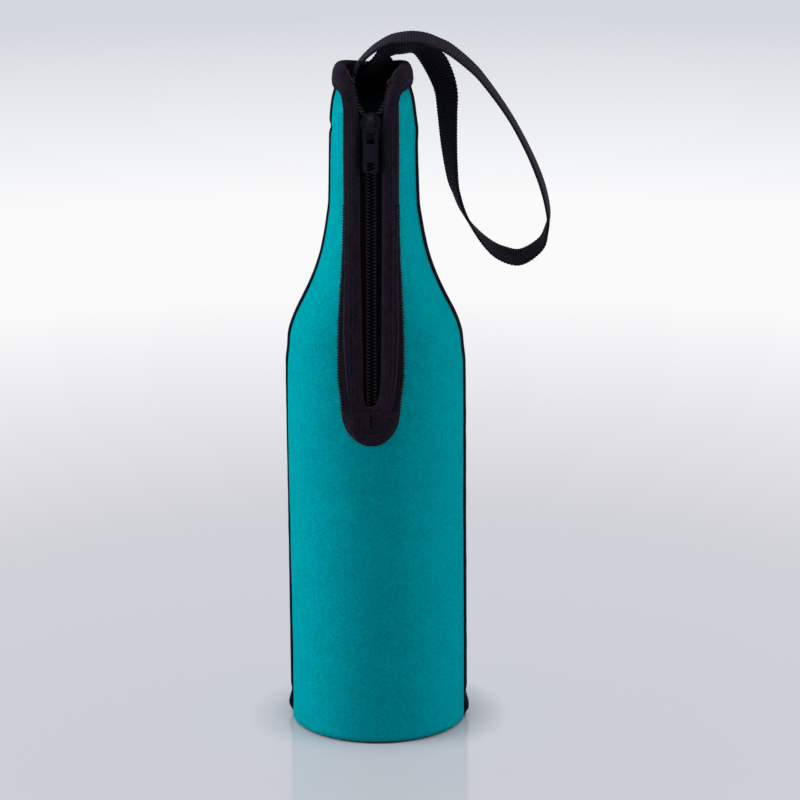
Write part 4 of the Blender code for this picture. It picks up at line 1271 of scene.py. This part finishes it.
def rounded(low, high, radius, steps=5):
    """The outline of a rectangle with round corners."""
    outline = []
    left, right, bottom, top = low[0] + radius, high[0] - radius, low[1] + radius, high[1] - radius
    for x, y, start in ((right, top, 0), (left, top, 90), (left, bottom, 180), (right, bottom, 270)):
        for i in range(steps + 1):
            angle = math.radians(start + 90 * i / steps)
            outline.append((x + radius * math.cos(angle), y + radius * math.sin(angle)))
    return outline


def join(work, other, width):
    """Adds another rounded block to a piece."""
    soften(other, width)
    mesh = bpy.data.meshes.new("part")
    other.to_mesh(mesh)
    other.free()
    work.from_mesh(mesh)
    bpy.data.meshes.remove(mesh)


class COOLERBAG_OT_slider(bpy.types.Operator):
    """The slider with its bridge, and the pull tab"""

    bl_idname = "cooler_bag.slider"
    bl_label = "Slider and pull"

    def execute(self, context):
        disc, half, tail, thick = 4.95 * MM, 4.0 * MM, 7.1 * MM, 1.2 * MM
        low = 3.0 * MM - TAPE_DEPTH
        meet = math.asin(half / disc)
        outline = []
        for i in range(41):
            angle = mix(-math.pi + meet, math.pi - meet, i / 40)
            outline.append((disc * math.sin(angle), disc * math.cos(angle)))
        for side in (1, -1):
            corner = []
            for a in (math.pi / 8 * k for k in range(5)):
                x = half * (0.7 + 0.3 * math.cos(a))
                corner.append((side * x, half * 0.3 * (1 - math.sin(a)) - tail))
            outline += corner[::side]
        work = plate([outline], low, low + thick)
        soften(work, 0.42 * MM, 4)
        join(work, plate([outline], -6.6 * MM, -6.6 * MM + thick), 0.35 * MM)
        # Rails along the tail that keep the tapes in, and the post that parts them
        for side in (-1, 1):
            rail = block((side * 4.07 * MM, -4.6 * MM, -2.4 * MM), (0.95 * MM, 5.2 * MM, 2.9 * MM))
            join(work, rail, 0.15 * MM)
        join(work, block((0, 3.6 * MM, -3.3 * MM), (1.8 * MM, 1.7 * MM, 5.4 * MM)), 0.1 * MM)
        join(work, self.bridge(low + thick), 0.22 * MM)
        place = line_frame() @ Matrix.Rotation(math.pi / 2, 4, "X")
        bmesh.ops.transform(work, matrix=place, verts=work.verts)
        to_object("slider", work, "black_metal", ("slider_body",), "slider", sharp=40)
        self.pull(low + thick)
        return {"FINISHED"}

    def bridge(self, floor):
        """The bowed loop that holds the pull's eye, cut from the side."""
        foot, top, rise, bar, leg, steps = -5.3 * MM, 4.4 * MM, 4.4 * MM, 0.9 * MM, 1.1 * MM, 14
        base = floor - 0.4 * MM
        outer, inner = [], []
        for t in (i / steps for i in range(steps + 1)):
            bow = math.sin(math.pi * t) ** 0.42
            outer.append((mix(foot, top, t), base + rise * bow))
            inner.append((mix(foot + leg, top - leg, t), base + (rise - bar) * bow))
        work = plate([outer + inner[::-1]], -1.5 * MM, 1.5 * MM)
        # Drawn with X up the zip and Y out of the bag
        turn = Matrix(((0, 0, 1, 0), (1, 0, 0, 0), (0, 1, 0, 0), (0, 0, 0, 1)))
        bmesh.ops.transform(work, matrix=turn, verts=work.verts)
        return work

    def pull(self, floor):
        """A flat tab with a window for the bridge, a raised panel and a window at its end."""
        half, thick, bar, length, top = 3.5 * MM, 1.3 * MM, 1.55 * MM, 20.8 * MM, 0.8 * MM
        low, eye = top - length, half - bar
        outlines = [
            rounded((-half, low), (half, top), 0.9 * MM),
            rounded((-eye, -top - 5.7 * MM), (eye, -top), 0.35 * MM),
            rounded((-eye, low + 0.75 * MM), (eye, low + 4.75 * MM), 0.35 * MM),
        ]
        work = plate(outlines, -thick / 2, thick / 2)
        soften(work, 0.22 * MM)
        panel = block((0, -11.0 * MM, thick / 2 + 0.05 * MM), (4.2 * MM, 7.0 * MM, 0.5 * MM))
        join(work, panel, 0.22 * MM)
        axis = Vector((0, -(floor + 1.15 * MM + thick / 2), -2.7 * MM))
        place = line_frame() @ Matrix.Translation(axis) @ Matrix.Rotation(math.pi / 2, 4, "X")
        bmesh.ops.transform(work, matrix=place, verts=work.verts)
        to_object("pull", work, "black_metal", ("pull_tab",), "pull", sharp=40)


def spline(rows, steps):
    """Points of a smooth curve through rows of (x, y, z, twist)."""
    rows = [Vector(row) for row in rows]
    ends = [rows[0] * 2 - rows[1]] + rows + [rows[-1] * 2 - rows[-2]]
    points = []
    for a, b, c, d in zip(ends, ends[1:], ends[2:], ends[3:]):
        for i in range(steps):
            t = i / steps
            bend = (a * 2 - b * 5 + c * 4 - d) * t**2 + (b * 3 - a - c * 3 + d) * t**3
            points.append((b * 2 + (c - a) * t + bend) / 2)
    return points + [rows[-1]]


# Section of the webbing: shares of its half width and of its half thickness
WEB_EDGE = ((0.985, -0.75), (1, -0.25), (1, 0.25), (0.985, 0.75))
WEB = [(x, -1) for x in (-0.93, -0.5, 0, 0.5, 0.93)] + list(WEB_EDGE)
WEB = [(-1, -0.25), (-0.985, -0.75)] + WEB + [(x, 1) for x in (0.93, 0.5, 0, -0.5, -0.93)]
WEB += [(-0.985, 0.75), (-1, 0.25)]


class COOLERBAG_OT_strap(bpy.types.Operator):
    """The wrist strap of ribbed webbing, sewn in at the left and the back of the mouth"""

    bl_idname = "cooler_bag.strap"
    bl_label = "Strap"

    def execute(self, context):
        def row(shares, foot=None):
            reach, deep, rise, twist = shares
            height = HINGE.z + rise * LOOP_DROP if foot is None else mix(foot, HINGE.z, rise)
            return (reach * LOOP_REACH, deep * STRAP_WIDTH, height, twist)

        rows = [row(r, STRAP_FOOT) for r in LEFT_END] + [(*HINGE, 0)] + [row(r) for r in LOOP]
        rows += [row(r, STRAP_FOOT) for r in BACK_END]
        points = self.even(spline(rows, 24), 0.4 * MM)
        rings, run, pitch = [], 0, sizes().rib_pitch
        for i, point in enumerate(points):
            before, after = points[max(i - 1, 0)], points[min(i + 1, len(points) - 1)]
            way = (after.xyz - before.xyz).normalized()
            wide = Vector((0, 1, 0))
            wide = (wide - way * wide.dot(way)).normalized()
            wide = Matrix.Rotation(math.radians(point.w), 3, way) @ wide
            thick = way.cross(wide)
            rib = math.sin(run * 2 * math.pi / pitch)
            edge = STRAP_WIDTH / 2 + 0.22 * MM * rib + 0.1 * MM * uneven(run * 260, 0, 0)
            lift = STRAP_THICK / 2 * (0.93 + 0.05 * rib)
            rings.append([point.xyz + wide * (across * edge) + thick * (up * lift) for across, up in WEB])
            run += (after.xyz - before.xyz).length / 2
        nodes = ("strap_loop", "strap_end_left", "strap_end_back")
        made = swept("wrist_strap", rings, "black_webbing", nodes, body=None)
        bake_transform(made)
        self.bartacks()
        return {"FINISHED"}

    def even(self, points, step):
        """The same curve with its points at even steps."""
        out, carried = [points[0]], 0.0
        for a, b in zip(points, points[1:]):
            gap = (b.xyz - a.xyz).length
            while carried + gap >= step and gap > 0:
                share = (step - carried) / gap
                a = a.lerp(b, share)
                out.append(a)
                gap = (b.xyz - a.xyz).length
                carried = 0.0
            carried += gap
        if (out[-1].xyz - points[-1].xyz).length > step / 4:
            out.append(points[-1])
        return out

    def bartacks(self):
        """Dense zigzag bars of thread through the webbing's ends."""
        ends = (("left", LEFT_END[0], 0), ("back", BACK_END[-1], -math.radians(BACK_END[-1][3])))
        for name, (reach, deep, _, _), turn in ends:
            centre = Vector((reach * LOOP_REACH, deep * STRAP_WIDTH, 0))
            place = Matrix.Translation(centre) @ Matrix.Rotation(turn, 4, "Z")
            points = []
            for k in range(41):
                height = BARTACK_HIGH if k % 2 else BARTACK_LOW
                spot = Vector((STRAP_THICK / 2 + 0.3 * MM, mix(-6 * MM, 6 * MM, k / 40), height))
                points.append(place @ spot)
            nodes = (f"strap_bartack_{name}",)
            swept(f"bartack_{name}", thread_rings(points, 0.2 * MM, 5), "black_thread", nodes)


class COOLERBAG_OT_stage(bpy.types.Operator):
    """Floor, backdrop, lamps and camera"""

    bl_idname = "cooler_bag.stage"
    bl_label = "Stage"

    def execute(self, context):
        self.backdrop(context)
        self.lamps(context)
        self.world(context)
        self.camera(context)
        context.scene.view_settings.view_transform = "Standard"
        return {"FINISHED"}

    def seen(self, tree):
        """1 for the rays that show the backdrop or its reflection, 0 for those that only light the bag."""
        rays = add(tree, "ShaderNodeLightPath").outputs
        shown = math_node(tree, "MAXIMUM", rays["Is Camera Ray"], rays["Is Glossy Ray"])
        return math_node(tree, "MAXIMUM", shown, rays["Is Transmission Ray"])

    def glow(self, tree, distance, low, high):
        """How far the floor gives its own light: from one distance to another, and only where it is seen."""
        share = add(tree, "ShaderNodeMapRange", {"From Min": low, "From Max": high}, {"Value": distance})
        return math_node(tree, "MULTIPLY", share.outputs[0], self.seen(tree))

    def laminate(self):
        """Satin white laminate: pale, with painted light that is darker near the bag and brighter behind it,
        and lit from within for the eye alone.
        """
        made, tree, place, _ = new_material("satin_white_laminate")
        distance = add(tree, "ShaderNodeVectorMath", {"operation": "LENGTH"}, {0: place}).outputs["Value"]
        # Painted light on the floor: colours by half the distance in metres, a darker grey near the bag and
        # white behind it
        stops = ((0.0, "#C9CDD6"), (0.16, "#D1D1D8"), (0.38, "#FAFAFB"), (0.5, "#FAFAFB"), (0.8, HAZE))
        half = math_node(tree, "MULTIPLY", distance, 0.5)
        tone = ramp(tree, half, [(at, linear(code)) for at, code in stops])
        lit = self.glow(tree, distance, 0.042, 0.064)
        dim = add(tree, "ShaderNodeMix", {"data_type": "RGBA", 7: (0, 0, 0, 1)}, {0: lit, 6: tone})
        shader = dress(tree, dim.outputs[2], {"Roughness": 0.12, "Specular IOR Level": 0.5})
        tree.links.new(tone, shader.inputs["Emission Color"])
        tree.links.new(math_node(tree, "MULTIPLY", lit, 0.82), shader.inputs["Emission Strength"])
        light = add(tree, "ShaderNodeEmission", {"Strength": 1.0}, {"Color": tone})
        share = self.glow(tree, distance, 0.08, 0.4)
        mixed = add(tree, "ShaderNodeMixShader", (), {0: share, 1: shader.outputs[0], 2: light.outputs[0]})
        tree.links.new(mixed.outputs[0], tree.nodes["Material Output"].inputs["Surface"])
        return made

    def backdrop(self, context):
        """A wide pale floor that ends in the world's colour."""
        work = bmesh.new()
        bmesh.ops.create_circle(work, cap_ends=True, segments=96, radius=6)
        if work.faces[:][0].normal.z < 0:
            bmesh.ops.reverse_faces(work, faces=work.faces)
        mesh = bpy.data.meshes.new("floor")
        work.to_mesh(mesh)
        work.free()
        mesh.materials.append(self.laminate())
        floor = bpy.data.objects.new("floor", mesh)
        context.scene.collection.objects.link(floor)

    def lamps(self, context):
        """Two large side lamps, the left one stronger, and a softer one overhead, all aimed at the bag."""
        size, aim = 1.2, Vector((0, 0, 0.16))
        for name, x, y, z, power in (
            ("left", -1.97, -0.35, 0.7, 47), ("right", 1.97, -0.35, 0.7, 29), ("top", 0.0, -0.1, 1.9, 15),
        ):
            light = bpy.data.lights.new(name, "AREA")
            light.shape = "SQUARE"
            light.size = size
            light.energy = power
            lamp = bpy.data.objects.new(name, light)
            lamp.location = (x, y, z)
            lamp.rotation_euler = (aim - lamp.location).to_track_quat("-Z", "Y").to_euler()
            lamp.visible_camera = False
            context.scene.collection.objects.link(lamp)

    def world(self, context):
        """Haze for the rays that show it, and a faint grey light for the rest."""
        world = bpy.data.worlds.new("studio")
        world.use_nodes = True
        tree = world.node_tree
        colours_seen = {"data_type": "RGBA", 6: (0.04, 0.04, 0.04, 1), 7: (*linear(HAZE), 1)}
        mixed = add(tree, "ShaderNodeMix", colours_seen, {0: self.seen(tree)})
        tree.links.new(mixed.outputs[2], tree.nodes["Background"].inputs["Color"])
        context.scene.world = world

    def camera(self, context):
        """The camera's axes are turned by its yaw, pitch and roll, and the whole about the bag's axis."""
        c = context.scene.cooler_bag_camera
        cy, sy = math.cos(c.yaw), math.sin(c.yaw)
        cp, sp = math.cos(c.pitch), math.sin(c.pitch)
        cr, sr = math.cos(c.roll), math.sin(c.roll)
        right, up = Vector((cy, sy, 0)), Vector((-sy * sp, cy * sp, cp))
        ahead = Vector((-sy * cp, cy * cp, -sp))
        axes = Matrix((right * cr - up * sr, right * sr + up * cr, -ahead)).transposed().to_4x4()
        data = bpy.data.cameras.new("camera")
        data.sensor_width = 36
        data.lens = c.lens
        data.clip_end = 20
        camera = bpy.data.objects.new("camera", data)
        place = Matrix.Translation(Vector((c.aside, -c.distance, c.height))) @ axes
        camera.matrix_world = Matrix.Rotation(c.turn, 4, "Z") @ place
        context.scene.collection.objects.link(camera)
        context.scene.camera = camera


class COOLERBAG_PT_panel(bpy.types.Panel):
    """Lists the bag's sizes, colours and pieces"""

    bl_label = "Wine cooler bag"
    bl_idname = "COOLERBAG_PT_panel"
    bl_space_type = "VIEW_3D"
    bl_region_type = "UI"
    bl_category = "Cooler Bag"

    def draw(self, context):
        for group in (
            context.scene.cooler_bag_sizes, context.scene.cooler_bag_colours, context.scene.cooler_bag_camera
        ):
            box = self.layout.box()
            for name in group.bl_rna.properties.keys():
                if name not in ("rna_type", "name"):
                    box.prop(group, name)
        for step in STEPS:
            self.layout.operator(step.bl_idname)


GROUPS = (CoolerBagSizes, CoolerBagColours, CoolerBagCamera)
STEPS = (
    COOLERBAG_OT_panels,
    COOLERBAG_OT_binding,
    COOLERBAG_OT_facings,
    COOLERBAG_OT_side_strips,
    COOLERBAG_OT_base,
    COOLERBAG_OT_zip,
    COOLERBAG_OT_slider,
    COOLERBAG_OT_strap,
    COOLERBAG_OT_stage,
)


def register():
    for group in GROUPS + STEPS + (COOLERBAG_PT_panel,):
        bpy.utils.register_class(group)
    bpy.types.Scene.cooler_bag_sizes = PointerProperty(type=CoolerBagSizes)
    bpy.types.Scene.cooler_bag_colours = PointerProperty(type=CoolerBagColours)
    bpy.types.Scene.cooler_bag_camera = PointerProperty(type=CoolerBagCamera)


def unregister():
    del bpy.types.Scene.cooler_bag_camera
    del bpy.types.Scene.cooler_bag_colours
    del bpy.types.Scene.cooler_bag_sizes
    for group in reversed(GROUPS + STEPS + (COOLERBAG_PT_panel,)):
        bpy.utils.unregister_class(group)


def main():
    register()
    for step in STEPS:
        area, name = step.bl_idname.split(".")
        getattr(getattr(bpy.ops, area), name)()


if __name__ == "__main__":
    main()
